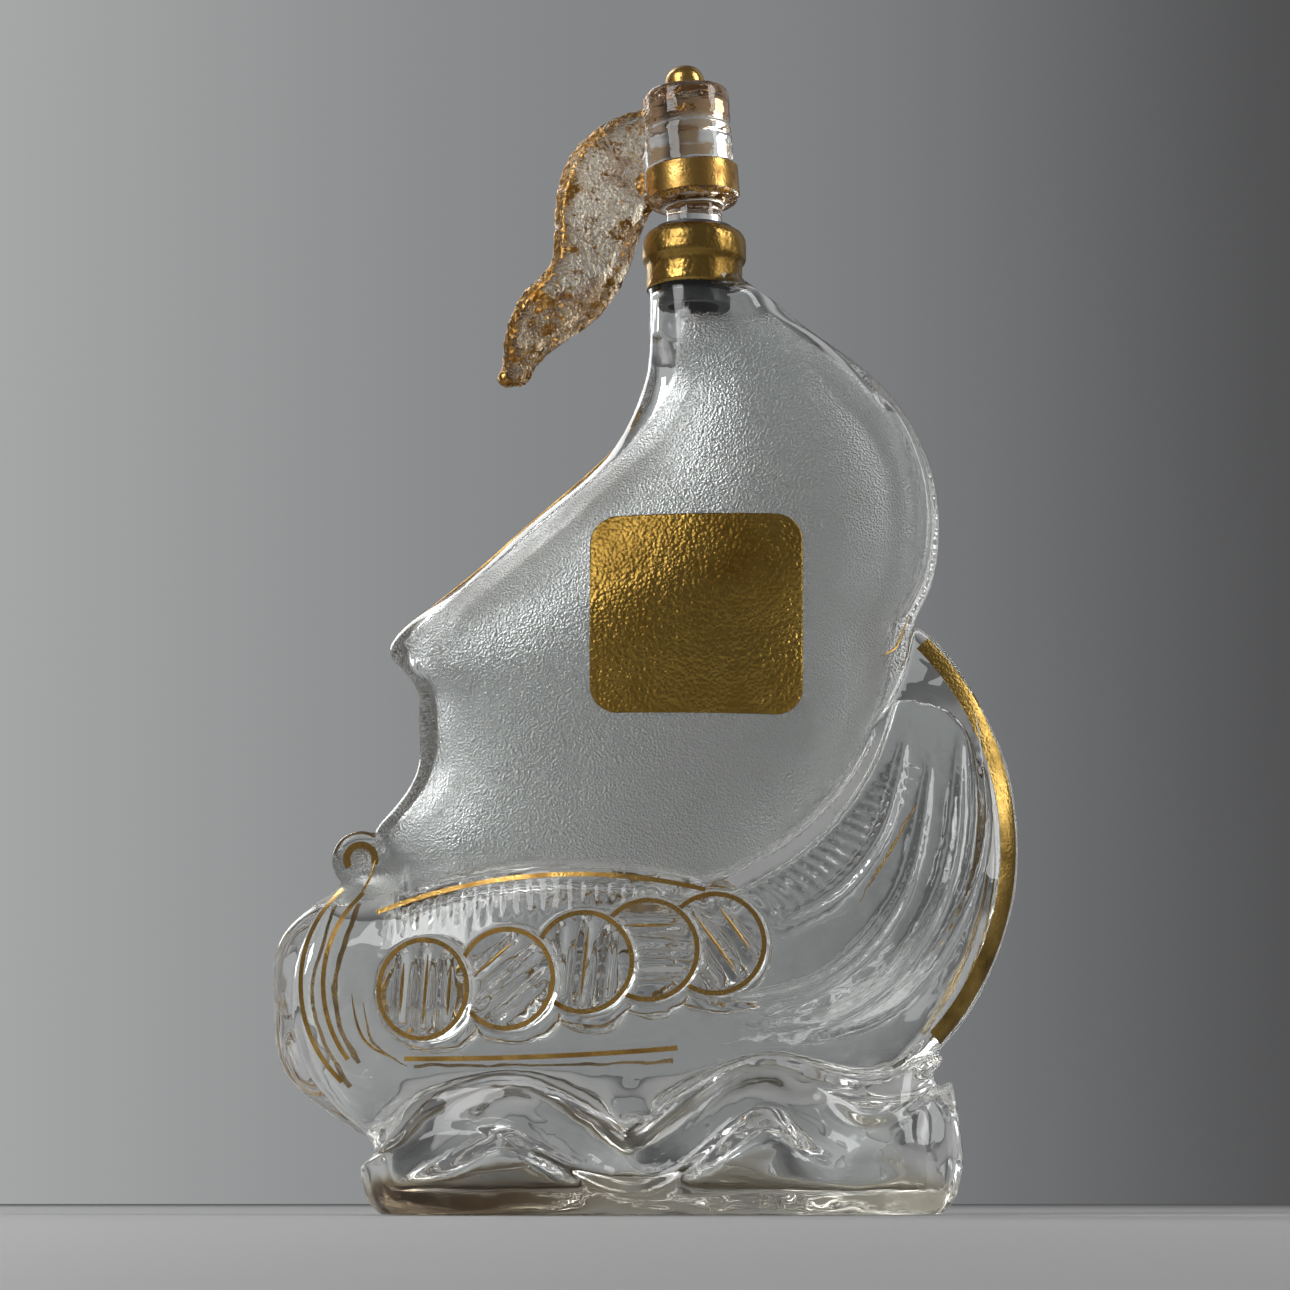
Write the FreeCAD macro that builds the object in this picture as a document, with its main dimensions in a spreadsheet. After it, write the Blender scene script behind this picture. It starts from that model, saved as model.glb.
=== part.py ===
# Figural liquor decanter: a glass bottle shaped as a longship under sail on a swell,
# closed by a glass stopper shaped as a masthead with a streaming pennant.
# Frame: millimetres, +Z up, origin on the table under the mast, which is the axis of the neck.
# The bow points to -X, the stern to +X, and the two halves of the mould mirror each other across Y = 0.
import FreeCAD, Part
import math
import os
import Sketcher

Vector = FreeCAD.Vector

doc = FreeCAD.newDocument("LongshipDecanter")

# Driving dimensions: alias, value and meaning. Lengths are millimetres, angles are degrees.
# "Ahead" is the distance from the mast towards the bow, "abaft" the distance towards the stern.
DIMENSIONS = [
    ("glass_wall", 4.4, "glass on the broad faces"),
    ("rim_wall", 7.5, "solid glass along the mould seam"),
    ("floor_wall", 7.0, "glass under the hollow"),
    ("deck_wall", 5.4, "glass between the gunwale and the hollow of the hull"),
    ("neck_radius", 12.0, "outside of the neck"),
    ("bore_radius", 9.3, "bore of the neck"),
    ("bore_low_z", 226.0, "foot of the bore"),
    ("hollow_top_z", 240.0, "where the hollow of the sail ends in the neck"),
    ("neck_top_z", 245.0, "where the sail has drawn in to the neck"),
    ("collar_radius", 12.3, "collar under the lip"),
    ("collar_low_z", 240.0, "underside of the collar"),
    ("lip_radius", 13.5, "outside of the lip's bead"),
    ("lip_low_z", 247.5, "underside of the lip's bead"),
    ("lip_top_z", 256.0, "top of the lip"),
    ("lip_round", 3.5, "rounding of the lip's top"),
    ("lip_under_round", 1.0, "rounding of the lip's underside"),
    ("foil_thick", 0.25, "gold foil round the neck"),
    ("foil_margin", 0.3, "bare lip between the foil and the sleeve's flange"),
    ("luff_angle", 41.0, "slope of the sail's front edge"),
    ("luff_sweep", 50.0, "radius from the front edge up into the neck"),
    ("corner_ahead", 80.6, "front corner of the sail"),
    ("corner_z", 145.0, "height of that corner"),
    ("waist_ahead", 71.6, "front edge of the sail at its waist"),
    ("waist_z", 116.0, "height of the waist"),
    ("tack_ahead", 82.0, "front edge of the sail at the bow"),
    ("tack_z", 98.0, "height of that point"),
    ("tack_flare", 0.3, "how far the edge still runs ahead below that point, per height"),
    ("tack_round", 18.0, "how gently it then turns back into the hull"),
    ("shoulder_angle", 37.5, "slope of the sail's shoulder abaft the neck"),
    ("leech_abaft", 10.8, "centre of the sail's round rear edge"),
    ("leech_z", 177.8, "height of that centre"),
    ("leech_radius", 53.0, "radius of that edge"),
    ("foot_ahead", 20.0, "centre of the sail's foot and of the rising gunwale"),
    ("foot_z", 150.0, "height of that centre"),
    ("foot_radius", 76.0, "radius of the sail's foot inside the hull"),
    ("sail_belly", 28.0, "half depth of the sail at its fullest"),
    ("belly_z", 158.0, "height of the fullest part"),
    ("sail_foot_depth", 21.0, "half depth of the sail at the deck"),
    ("deck_z", 80.0, "height of the deck"),
    ("sail_low_z", 72.0, "lower end of the sail inside the hull"),
    ("stem_ahead", 70.5, "centre of the bow's curve"),
    ("stem_z", 54.0, "height of that centre"),
    ("stem_radius", 38.0, "radius of the bow's curve"),
    ("stern_abaft", 6.0, "centre of the stern's curve"),
    ("stern_z", 94.0, "height of that centre"),
    ("stern_radius", 77.0, "radius of the stern's curve"),
    ("hull_low_z", 14.0, "lower end of the hull inside the waves"),
    ("hull_low_depth", 12.0, "half depth of the hull there"),
    ("beam_half", 31.0, "half beam of the hull"),
    ("beam_z", 60.0, "height of the widest strake"),
    ("horn_depth", 9.0, "half depth of the mould at the sternpost's head"),
    ("horn_hollow_z", 131.0, "upper end of the hollow in the horn of the stern"),
    ("sheer_bow_z", 79.0, "height of the gunwale at the bow"),
    ("sheer_bow_ahead", 74.0, "bow end of the gunwale"),
    ("sheer_mid_z", 86.0, "height of the gunwale at its crown"),
    ("sheer_mid_ahead", 36.0, "crown of the gunwale"),
    ("sheer_radius", 71.5, "radius of the gunwale where it rises to the stern"),
    ("sheer_low_abaft", 2.0, "low point of the gunwale"),
    ("base_bow_ahead", 84.0, "bow end of the base"),
    ("base_stern_abaft", 66.0, "stern end of the base"),
    ("base_depth", 31.5, "half depth of the base"),
    ("base_tuck", 4.0, "tuck-in of the base at the table"),
    ("base_tuck_z", 5.0, "height of the tuck-in"),
    ("wave_step", 4.5, "how far the rear row of waves stands behind the front row"),
    ("wave_drop", 9.0, "how far the front row stays below the rear row"),
    ("crest_fore_z", 34.0, "crest of the fore wave"),
    ("crest_fore_ahead", 50.0, "place of the fore crest"),
    ("trough_z", 22.0, "trough between the waves"),
    ("wave_roll", 7.0, "how far a crest rolls off towards its face"),
    ("trough_ahead", 12.0, "place of the trough"),
    ("crest_aft_z", 40.0, "crest of the aft wave"),
    ("crest_aft_abaft", 15.0, "place of the aft crest"),
    ("spray_z", 41.0, "point of spray under the stern"),
    ("spray_abaft", 62.0, "place of the spray"),
    ("wake_z", 34.0, "hollow between the aft crest and the spray"),
    ("wake_abaft", 43.2, "place of that hollow"),
    ("scroll_ahead", 85.5, "bow scroll"),
    ("scroll_z", 89.5, "height of the bow scroll"),
    ("scroll_radius", 7.6, "outside of the bow scroll"),
    ("scroll_half", 6.0, "half thickness of the bow scroll"),
    ("scroll_round", 1.5, "rounding of the bow scroll"),
    ("shield_radius", 12.8, "shields along the side"),
    ("shield_proud", 1.8, "how far a shield stands off the side"),
    ("shield_sunk", 5.0, "depth of a shield's root in the side"),
    ("shield_turn", 8.0, "turn of each shield, so that they lap like scales"),
    ("shield_bar", 1.1, "radius of the raised bars on a shield"),
    ("shield_bar_pitch", 6.0, "distance between those bars"),
    ("first_shield_abaft", -67.4, "first shield from the bow"),
    ("first_shield_drop", 25.8, "its middle below the gunwale"),
    ("first_shield_lean", 4.0, "lean of its bars from upright"),
    ("second_shield_abaft", -46.8, "second shield from the bow"),
    ("second_shield_drop", 27.6, "its middle below the gunwale"),
    ("second_shield_lean", 50.0, "lean of its bars from upright"),
    ("third_shield_abaft", -27.8, "third shield from the bow"),
    ("third_shield_drop", 24.5, "its middle below the gunwale"),
    ("third_shield_lean", 6.0, "lean of its bars from upright"),
    ("fourth_shield_abaft", -12.0, "fourth shield from the bow"),
    ("fourth_shield_drop", 20.2, "its middle below the gunwale"),
    ("fourth_shield_lean", 90.0, "lean of its bars from upright"),
    ("fifth_shield_abaft", 4.3, "fifth shield from the bow"),
    ("fifth_shield_drop", 16.6, "its middle below the gunwale"),
    ("fifth_shield_lean", -36.0, "lean of its bars from upright"),
    ("rim_width", 1.2, "gold rim of a shield"),
    ("gilt_thick", 0.3, "gold lines and bands"),
    ("line_width", 1.2, "width of the gold lines"),
    ("stern_band", 4.2, "gold band along the sternpost"),
    ("stern_edge", 1.0, "bare edge of the sternpost outside that band"),
    ("stern_band_low_z", 44.0, "foot of that band"),
    ("gunwale_gap", 1.6, "gold line below the gunwale's edge"),
    ("gunwale_bow_ahead", 80.5, "bow end of that line"),
    ("gunwale_bow_z", 75.0, "height of its bow end"),
    ("water_bow_ahead", 73.0, "bow end of the gold line above the waves"),
    ("water_bow_z", 38.3, "height of that end"),
    ("water_mid_ahead", 34.0, "middle of that line"),
    ("water_mid_z", 38.8, "height of its middle"),
    ("water_stern_ahead", 5.0, "stern end of that line"),
    ("water_stern_z", 40.7, "height of its stern end"),
    ("bow_line_z", 56.0, "height where the gold lines of the bow are fullest"),
    ("inner_inset", 14.5, "inner gold line of the bow behind the stem, at its fullest"),
    ("inner_top_inset", 13.5, "upper end of the inner line behind the stem"),
    ("inner_top_z", 80.5, "height of its upper end"),
    ("inner_low_inset", 17.7, "lower end of the inner line behind the stem"),
    ("inner_low_z", 38.3, "height of its lower end"),
    ("outer_inset", 8.5, "outer gold line of the bow behind the stem, at its fullest"),
    ("outer_top_inset", 6.2, "upper end of the outer line behind the stem"),
    ("outer_top_z", 82.0, "height of its upper end"),
    ("outer_low_inset", 13.0, "lower end of the outer line behind the stem"),
    ("outer_low_z", 32.8, "height of its lower end"),
    ("hook_radius", 3.6, "curl of the gold scroll"),
    ("hook_start", 215.0, "turn of the curl's root from aft"),
    ("hook_end", -20.0, "turn of the curl's tip from aft"),
    ("hook_width", 1.8, "width of the gold scroll"),
    ("label_width", 54.0, "foil label across the sail"),
    ("label_height", 51.0, "height of the label"),
    ("label_round", 7.0, "corner radius of the label"),
    ("label_z", 150.0, "height of the label's middle"),
    ("label_thick", 0.2, "thickness of the label"),
    ("label_glue", 0.06, "glue between the label and the sail"),
    ("peg_radius", 6.2, "glass peg of the stopper"),
    ("peg_length", 19.0, "peg below its shoulder"),
    ("peg_play", 0.08, "radial play of the peg in its sleeve"),
    ("shank_radius", 7.4, "shank above the peg's shoulder"),
    ("shank_length", 6.0, "shank between its shoulder and the head"),
    ("sleeve_play", 0.08, "radial play of the sleeve in the bore"),
    ("sleeve_length", 21.0, "sleeve below the lip"),
    ("fin_depth", 0.8, "depth of the grooves between the sleeve's fins"),
    ("fin_pitch", 4.0, "distance between the sleeve's fins"),
    ("flange_thick", 1.0, "flange that hangs the sleeve on the lip"),
    ("flange_radius", 10.2, "radius of that flange"),
    ("head_lean", 4.0, "lean of the stopper's head towards the bow"),
    ("drum_radius", 11.3, "masthead drum"),
    ("drum_height", 32.0, "drum with its skirt"),
    ("drum_round", 2.0, "rounding of the drum's top"),
    ("skirt_radius", 12.0, "skirt under the drum"),
    ("skirt_height", 10.0, "height of that skirt"),
    ("skirt_round", 2.5, "rounding of the skirt's foot"),
    ("groove_rise", 21.0, "ring groove above the skirt's foot"),
    ("groove_width", 1.6, "width of the ring groove"),
    ("groove_depth", 0.7, "depth of the ring groove"),
    ("knob_radius", 5.2, "gilt knob on the masthead"),
    ("knob_height", 6.6, "height of the knob"),
    ("knob_round", 4.4, "rounding of the knob"),
    ("pennant_reach", 52.0, "tip of the pennant ahead of the mast"),
    ("pennant_rise", 27.5, "hoist of the pennant above the skirt's foot"),
    ("pennant_drop", 48.0, "tip of the pennant below the skirt's foot"),
    ("pennant_thick", 8.0, "thickness of the pennant at its hoist"),
    ("pennant_tip_thick", 4.0, "thickness of the pennant at its tip"),
    ("pennant_ripple", 2.6, "ripple of the pennant to either side"),
]

sheet = doc.addObject("Spreadsheet::Sheet", "Sizes")
for row, (alias, value, meaning) in enumerate(DIMENSIONS, start=1):
    sheet.set(f"A{row}", alias)
    sheet.set(f"B{row}", str(value))
    sheet.set(f"C{row}", meaning)
    sheet.setAlias(f"B{row}", alias)
doc.recompute()

# The same values for the free forms, which are worked out below rather than sketched.
size = {alias: float(getattr(sheet, alias)) for alias, value, meaning in DIMENSIONS}


def bound(kind, name, **expressions):
    """A document object whose properties follow the sheet."""
    thing = doc.addObject(kind, name)
    for path, expression in expressions.items():
        thing.setExpression(path.replace("__", "."), expression)
    return thing


def shaped(name, shape):
    """A document object for a free form."""
    thing = doc.addObject("Part::Feature", name)
    thing.Shape = shape
    return thing


def fused(name, things):
    thing = doc.addObject("Part::MultiFuse", name)
    thing.Shapes = things
    thing.Refine = False
    return thing


def paired(kind, name, base, tool):
    thing = doc.addObject(kind, name)
    thing.Base = base
    thing.Tool = tool
    thing.Refine = False
    return thing


def mirrored(name, source):
    """The same piece on the other half of the mould."""
    thing = doc.addObject("Part::Mirroring", name)
    thing.Source = source
    thing.Normal = Vector(0, 1, 0)
    return thing


def ease(share):
    """A smooth step from 0 to 1."""
    share = min(1.0, max(0.0, share))
    return share * share * (3.0 - 2.0 * share)


def between(start, end, share):
    return start + (end - start) * share


def circle_reach(centre, radius, place):
    """How far a circle reaches to either side of the line through its centre, at a place along that line."""
    return math.sqrt(max(0.0, radius**2 - (place - centre) ** 2))


# Horizontal sections
# Each is a pillow from its front tip to its rear tip, fullest at its middle. A pinch of 1 makes an ellipse,
# more draws the tips out to an edge and less makes the section boxy.
SECTION_POINTS = 14
LOFT_DEGREE = 3


def section(z, front, rear, middle, depth, pinch):
    points = []
    for step in range(SECTION_POINTS):
        turn = 2.0 * math.pi * step / SECTION_POINTS
        reach = rear - middle if math.cos(turn) > 0 else middle - front
        sine = math.sin(turn)
        points.append(Vector(
            middle + reach * math.cos(turn),
            math.copysign(depth * abs(sine) ** pinch, sine),
            z,
        ))
    curve = Part.BSplineCurve()
    curve.interpolate(
        Points=points,
        PeriodicFlag=True,
        Parameters=[float(step) for step in range(SECTION_POINTS + 1)],
        Tangents=[(points[1] - points[-1]) * 0.5] + [Vector()] * (SECTION_POINTS - 1),
        TangentFlags=[True] + [False] * (SECTION_POINTS - 1),
        Scale=False,
    )
    return Part.Wire([curve.toShape()])


def loft(sections):
    return Part.makeLoft(sections, True, False, False, LOFT_DEGREE)


# Sail
def luff_x(z):
    """Front edge of the sail: neck, sweep, straight luff, then the hollow edge down to the bow."""
    neck = -size["neck_radius"]
    corner = -size["corner_ahead"]
    below = size["tack_z"] - z
    if below > 0:
        return -size["tack_ahead"] - size["tack_flare"] * below + below**2 / size["tack_round"]
    if z < size["corner_z"]:
        hollow = Part.Circle(
            Vector(corner, 0, size["corner_z"]),
            Vector(-size["waist_ahead"], 0, size["waist_z"]),
            Vector(-size["tack_ahead"], 0, size["tack_z"]),
        )
        return hollow.Center.x + circle_reach(hollow.Center.z, hollow.Radius, z)
    slope = math.radians(size["luff_angle"])
    meeting_z = size["corner_z"] + (neck - corner) * math.tan(slope)
    run = size["luff_sweep"] * math.tan((math.pi / 2 - slope) / 2)
    if z < meeting_z - run * math.sin(slope):
        return corner + (z - size["corner_z"]) / math.tan(slope)
    if z < meeting_z + run:
        return neck - size["luff_sweep"] + circle_reach(meeting_z + run, size["luff_sweep"], z)
    return neck


def leech_x(z):
    """Rear edge of the sail: neck, straight shoulder, round leech, then the foot inside the hull."""
    if z < size["foot_z"]:
        return -size["foot_ahead"] + circle_reach(size["foot_z"], size["foot_radius"], z)
    slope = math.radians(size["shoulder_angle"])
    tangent_x = size["leech_abaft"] + size["leech_radius"] * math.sin(slope)
    tangent_z = size["leech_z"] + size["leech_radius"] * math.cos(slope)
    if z < tangent_z:
        return size["leech_abaft"] + circle_reach(size["leech_z"], size["leech_radius"], z)
    return max(size["neck_radius"], tangent_x - (z - tangent_z) / math.tan(slope))


def sail_depth(z):
    if z > size["belly_z"]:
        share = ease((size["neck_top_z"] - z) / (size["neck_top_z"] - size["belly_z"]))
        return between(size["neck_radius"], size["sail_belly"], share)
    share = ease((size["belly_z"] - z) / (size["belly_z"] - size["deck_z"]))
    return between(size["sail_belly"], size["sail_foot_depth"], share)


SAIL_PINCH = 0.15
NECK_WALL_RUN = 3.0


def sail_section(z, hollow, grown=0.0):
    """One level of the sail, outside or hollow, or grown by a skin."""
    front = luff_x(z)
    rear = leech_x(z)
    drawn = ease((size["neck_top_z"] - z) / (size["neck_top_z"] - size["belly_z"]))
    middle = drawn * (front + rear) / 2.0
    depth = sail_depth(z)
    if hollow:
        neck_wall = size["neck_radius"] - size["bore_radius"]
        seam = between(neck_wall, size["rim_wall"], min(1.0, NECK_WALL_RUN * drawn))
        front += seam
        rear -= seam
        depth -= between(neck_wall, size["glass_wall"], min(1.0, NECK_WALL_RUN * drawn))
    return section(z, front - grown, rear + grown, middle, depth + grown, 1.0 + SAIL_PINCH * drawn)


# Where the sections lie in the foot, body and shoulder of the sail: closer at its corner and at the neck
FOOT_SHARES = (0.0, 0.4, 0.68, 0.87, 1.0)
BODY_SHARES = (0.2, 0.42, 0.66, 0.86, 0.97)
SHOULDER_SHARES = (0.02, 0.12, 0.28, 0.44, 0.58, 0.7, 0.8, 0.89, 0.96, 1.0)


def sail_levels(top):
    corner = size["corner_z"]
    levels = [between(size["sail_low_z"], size["tack_z"], share) for share in FOOT_SHARES]
    levels += [between(size["tack_z"], corner, share) for share in BODY_SHARES]
    levels += [between(corner, top, share) for share in SHOULDER_SHARES]
    return levels


def sail_form(hollow=False, grown=0.0):
    top = size["hollow_top_z"] if hollow else size["neck_top_z"]
    return loft([sail_section(z, hollow, grown) for z in sail_levels(top)])


# Hull
def stem_x(z):
    z = min(z, size["scroll_z"])
    return -size["stem_ahead"] - circle_reach(size["stem_z"], size["stem_radius"], z)


def sternpost_x(z):
    return size["stern_abaft"] + circle_reach(size["stern_z"], size["stern_radius"], z)


def hull_depth(z):
    if z < size["beam_z"]:
        share = ((size["beam_z"] - z) / (size["beam_z"] - size["hull_low_z"])) ** 2
        return between(size["beam_half"], size["hull_low_depth"], share)
    share = ease((z - size["beam_z"]) / (size["foot_z"] - size["beam_z"]))
    return between(size["beam_half"], size["horn_depth"], share)


HULL_PINCH = 1.3
HORN_END = 0.12


def hull_surface_y(x, z):
    """Half depth of the hull's side at a point."""
    front = stem_x(z)
    rear = sternpost_x(z)
    middle = (front + rear) / 2.0
    share = (x - middle) / (rear - middle)
    return hull_depth(z) * max(0.0, 1.0 - share**2) ** (HULL_PINCH / 2.0)


def horn_taper(z):
    """How the hollow closes in the horn of the stern, from its full depth to a narrow end."""
    rise = max(0.0, z - size["tack_z"]) / (size["horn_hollow_z"] - size["tack_z"])
    return max(HORN_END, math.sqrt(max(0.0, 1.0 - rise**2)))


def hull_section(z, hollow, grown):
    front = stem_x(z)
    rear = sternpost_x(z)
    depth = hull_depth(z)
    if hollow:
        front += size["rim_wall"]
        rear -= size["rim_wall"]
        depth = (depth - size["glass_wall"]) * horn_taper(z)
    return section(z, front - grown, rear + grown, (front + rear) / 2.0, depth + grown, HULL_PINCH)


def gunwale_low_z():
    """Height of the gunwale where its rise to the stern begins."""
    return size["foot_z"] - circle_reach(-size["foot_ahead"], size["sheer_radius"], size["sheer_low_abaft"])


def sheer_arc():
    """The gunwale from the bow over its crown to its low point."""
    return (
        Vector(-size["sheer_bow_ahead"], 0, size["sheer_bow_z"]),
        Vector(-size["sheer_mid_ahead"], 0, size["sheer_mid_z"]),
        Vector(size["sheer_low_abaft"], 0, gunwale_low_z()),
    )


def gunwale_z(x):
    """Height of the gunwale along the ship."""
    if x > size["sheer_low_abaft"]:
        return size["foot_z"] - circle_reach(-size["foot_ahead"], size["sheer_radius"], x)
    arc = Part.Circle(*sheer_arc())
    reach = circle_reach(arc.Center.x, arc.Radius, x)
    return arc.Center.z + math.copysign(reach, size["sheer_mid_z"] - arc.Center.z)


def over_gunwale(lowered=0.0):
    """Everything above the sheer line, to be trimmed from the hull."""
    top_z = size["lip_top_z"]
    ahead = 2.0 * size["scroll_ahead"]
    foot_x = -size["foot_ahead"]
    radius = size["sheer_radius"]
    bow, crown, low = sheer_arc()
    half_turn = (math.pi / 2 + math.asin((low.x - foot_x) / radius)) / 2.0
    rising = Vector(foot_x + radius * math.sin(half_turn), 0, size["foot_z"] - radius * math.cos(half_turn))
    head = Vector(foot_x + radius, 0, size["foot_z"])
    corners = [
        head,
        Vector(head.x, 0, top_z),
        Vector(-ahead, 0, top_z),
        Vector(-ahead, 0, size["scroll_z"]),
        Vector(bow.x, 0, size["scroll_z"]),
        bow,
    ]
    edges = [Part.LineSegment(start, end).toShape() for start, end in zip(corners, corners[1:])]
    edges.append(Part.Arc(bow, crown, low).toShape())
    edges.append(Part.Arc(low, rising, head).toShape())
    face = Part.Face(Part.Wire(edges))
    reach = 2.0 * size["beam_half"]
    face.translate(Vector(0, -reach, -lowered))
    return face.extrude(Vector(0, 2.0 * reach, 0))


HULL_STEPS = 9


def hull_form(hollow=False, grown=0.0):
    low = size["hull_low_z"] + (size["floor_wall"] if hollow else 0.0)
    top = size["horn_hollow_z"] if hollow else size["foot_z"]
    levels = [between(low, top, step / HULL_STEPS) for step in range(HULL_STEPS + 1)]
    blank = loft([hull_section(z, hollow, grown) for z in levels])
    lowered = size["deck_wall"] if hollow else -grown
    return blank.cut(over_gunwale(lowered))


# Waves
BASE_PINCH = 0.72
BASE_LEVELS = 2
BASE_HEADROOM = 1.3


def base_block(inset, top):
    """Block of water under the hull, tucked in at the table, before its crests are cut."""
    levels = [0.0]
    levels += [between(size["base_tuck_z"], top, step / BASE_LEVELS) for step in range(BASE_LEVELS + 1)]
    sections = []
    for z in levels:
        tuck = size["base_tuck"] * (1.0 - ease(z / size["base_tuck_z"])) + inset
        front = -size["base_bow_ahead"] + tuck
        rear = size["base_stern_abaft"] - tuck
        sections.append(section(z, front, rear, (front + rear) / 2.0, size["base_depth"] - tuck, BASE_PINCH))
    return loft(sections)


def crest_line(y, drop):
    """Outline of the waves in one plane along the ship, rolled off towards the face of the waves."""
    ahead = 2.0 * size["base_bow_ahead"]
    lowered = drop + size["wave_roll"] * (y / size["base_depth"]) ** 4
    crests = [
        (-ahead, size["trough_z"]),
        (-size["base_bow_ahead"], size["trough_z"]),
        (-size["crest_fore_ahead"], size["crest_fore_z"]),
        (-size["trough_ahead"], size["trough_z"]),
        (size["crest_aft_abaft"], size["crest_aft_z"]),
        (size["wake_abaft"], size["wake_z"]),
        (size["spray_abaft"], size["spray_z"]),
        (ahead, size["trough_z"]),
    ]
    places = [Vector(x, y, z - lowered) for x, z in crests]
    line = Part.BSplineCurve()
    line.interpolate(places)
    corners = [places[-1], Vector(ahead, y, -size["spray_z"]), Vector(-ahead, y, -size["spray_z"]), places[0]]
    edges = [Part.LineSegment(begin, finish).toShape() for begin, finish in zip(corners, corners[1:])]
    return Part.Wire([line.toShape()] + edges)


# Where the crest lines lie across the base, as shares of its half depth
CREST_SHARES = (-1.2, -1.0, -0.75, 0.0, 0.75, 1.0, 1.2)


def under_waves(drop):
    """Everything under the crests."""
    return loft([crest_line(share * size["base_depth"], drop) for share in CREST_SHARES])


def wave_row(inset, drop):
    return base_block(inset, BASE_HEADROOM * size["spray_z"]).common(under_waves(drop))


BASE_BILGE = 0.4


def base_hollow_form():
    """The hollow inside the waves, from the floor up into the hull."""
    inset = size["rim_wall"]
    front = -size["base_bow_ahead"] + inset
    rear = size["base_stern_abaft"] - inset
    depth = size["base_depth"] - size["wave_step"] - size["glass_wall"]
    narrow = depth - size["wave_step"]
    top = size["hull_low_z"] + 2.0 * size["floor_wall"]
    levels = [
        (size["floor_wall"], narrow),
        (between(size["floor_wall"], top, BASE_BILGE), depth),
        (top, size["hull_low_depth"]),
    ]
    middle = (front + rear) / 2.0
    return loft([section(z, front, rear, middle, half, BASE_PINCH) for z, half in levels])


# Turned pieces
def profile(body, name, corners):
    """A closed outline in the body's XZ plane, each corner held at a radius and a height from the sheet."""
    sketch = body.newObject("Sketcher::SketchObject", name)
    plane = [item for item in body.Origin.OriginFeatures if item.Role == "XZ_Plane"][0]
    sketch.AttachmentSupport = [(plane, "")]
    sketch.MapMode = "FlatFace"
    places = [
        Vector(sketch.evalExpression(radius), sketch.evalExpression(height), 0) for radius, height in corners
    ]
    count = len(places)
    for index, place in enumerate(places):
        sketch.addGeometry(Part.LineSegment(place, places[(index + 1) % count]))
    for index in range(count):
        sketch.addConstraint(Sketcher.Constraint("Coincident", index, 2, (index + 1) % count, 1))
    for index, (radius, height) in enumerate(corners):
        hold(sketch, index, "DistanceX", radius, places[index].x, -2)
        hold(sketch, index, "DistanceY", height, places[index].y, -1)
    return sketch


def hold(sketch, index, direction, expression, value, axis):
    """Holds a corner on an axis, or at a distance from it that follows the sheet."""
    if expression == "0":
        sketch.addConstraint(Sketcher.Constraint("PointOnObject", index, 1, axis))
        return
    number = sketch.addConstraint(Sketcher.Constraint(direction, -1, 1, index, 1, value))
    sketch.setExpression(f"Constraints[{number}]", expression)


def turned(label, corners):
    """A body turned about Z from an outline of radii and heights."""
    body = doc.addObject("PartDesign::Body", label)
    sketch = profile(body, label + "_profile", corners)
    turn = body.newObject("PartDesign::Revolution", label + "_turn")
    turn.Profile = sketch
    turn.ReferenceAxis = (sketch, ["V_Axis"])
    turn.Angle = 360.0
    doc.recompute()
    return body


BEVEL_SHARE = 0.293


def top_bevel(radius, height, rounding):
    """Corners of an outline that eases off its upper outer edge in two steps."""
    return [
        (radius, f"{height} - {rounding}"),
        (f"{radius} - {BEVEL_SHARE} * ({rounding})", f"{height} - {BEVEL_SHARE} * ({rounding})"),
        (f"{radius} - {rounding}", height),
    ]


def foot_bevel(radius, height, rounding):
    """The same for a lower outer edge."""
    return [
        (f"{radius} - {rounding}", height),
        (f"{radius} - {BEVEL_SHARE} * ({rounding})", f"{height} + {BEVEL_SHARE} * ({rounding})"),
        (radius, f"{height} + {rounding}"),
    ]


# Glass of the bottle
sail = shaped("sail", sail_form())
hull = shaped("hull", hull_form())
rear_waves = shaped("rear_waves", wave_row(size["wave_step"], 0.0))
front_waves = shaped("front_waves", wave_row(0.0, size["wave_drop"]))

scroll_disc = bound(
    "Part::Cylinder", "scroll_disc",
    Radius="Sizes.scroll_radius",
    Height="2 * Sizes.scroll_half",
    Placement__Base__x="-Sizes.scroll_ahead",
    Placement__Base__y="Sizes.scroll_half",
    Placement__Base__z="Sizes.scroll_z",
)
scroll_disc.Placement.Rotation = FreeCAD.Rotation(Vector(1, 0, 0), 90)
doc.recompute()
scroll = doc.addObject("Part::Chamfer", "scroll")
scroll.Base = scroll_disc
round_edges = [index for index, edge in enumerate(scroll_disc.Shape.Edges, start=1) if edge.isClosed()]
scroll.Edges = [(index, size["scroll_round"], size["scroll_round"]) for index in round_edges]

collar = turned("collar", [
    ("0", "Sizes.collar_low_z"),
    ("Sizes.collar_radius", "Sizes.collar_low_z"),
    ("Sizes.collar_radius", "Sizes.lip_low_z"),
    *foot_bevel("Sizes.lip_radius", "Sizes.lip_low_z", "Sizes.lip_under_round"),
    *top_bevel("Sizes.lip_radius", "Sizes.lip_top_z", "Sizes.lip_round"),
    ("0", "Sizes.lip_top_z"),
])

# Shields, from the bow aft
SHIELDS = ("first", "second", "third", "fourth", "fifth")


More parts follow.
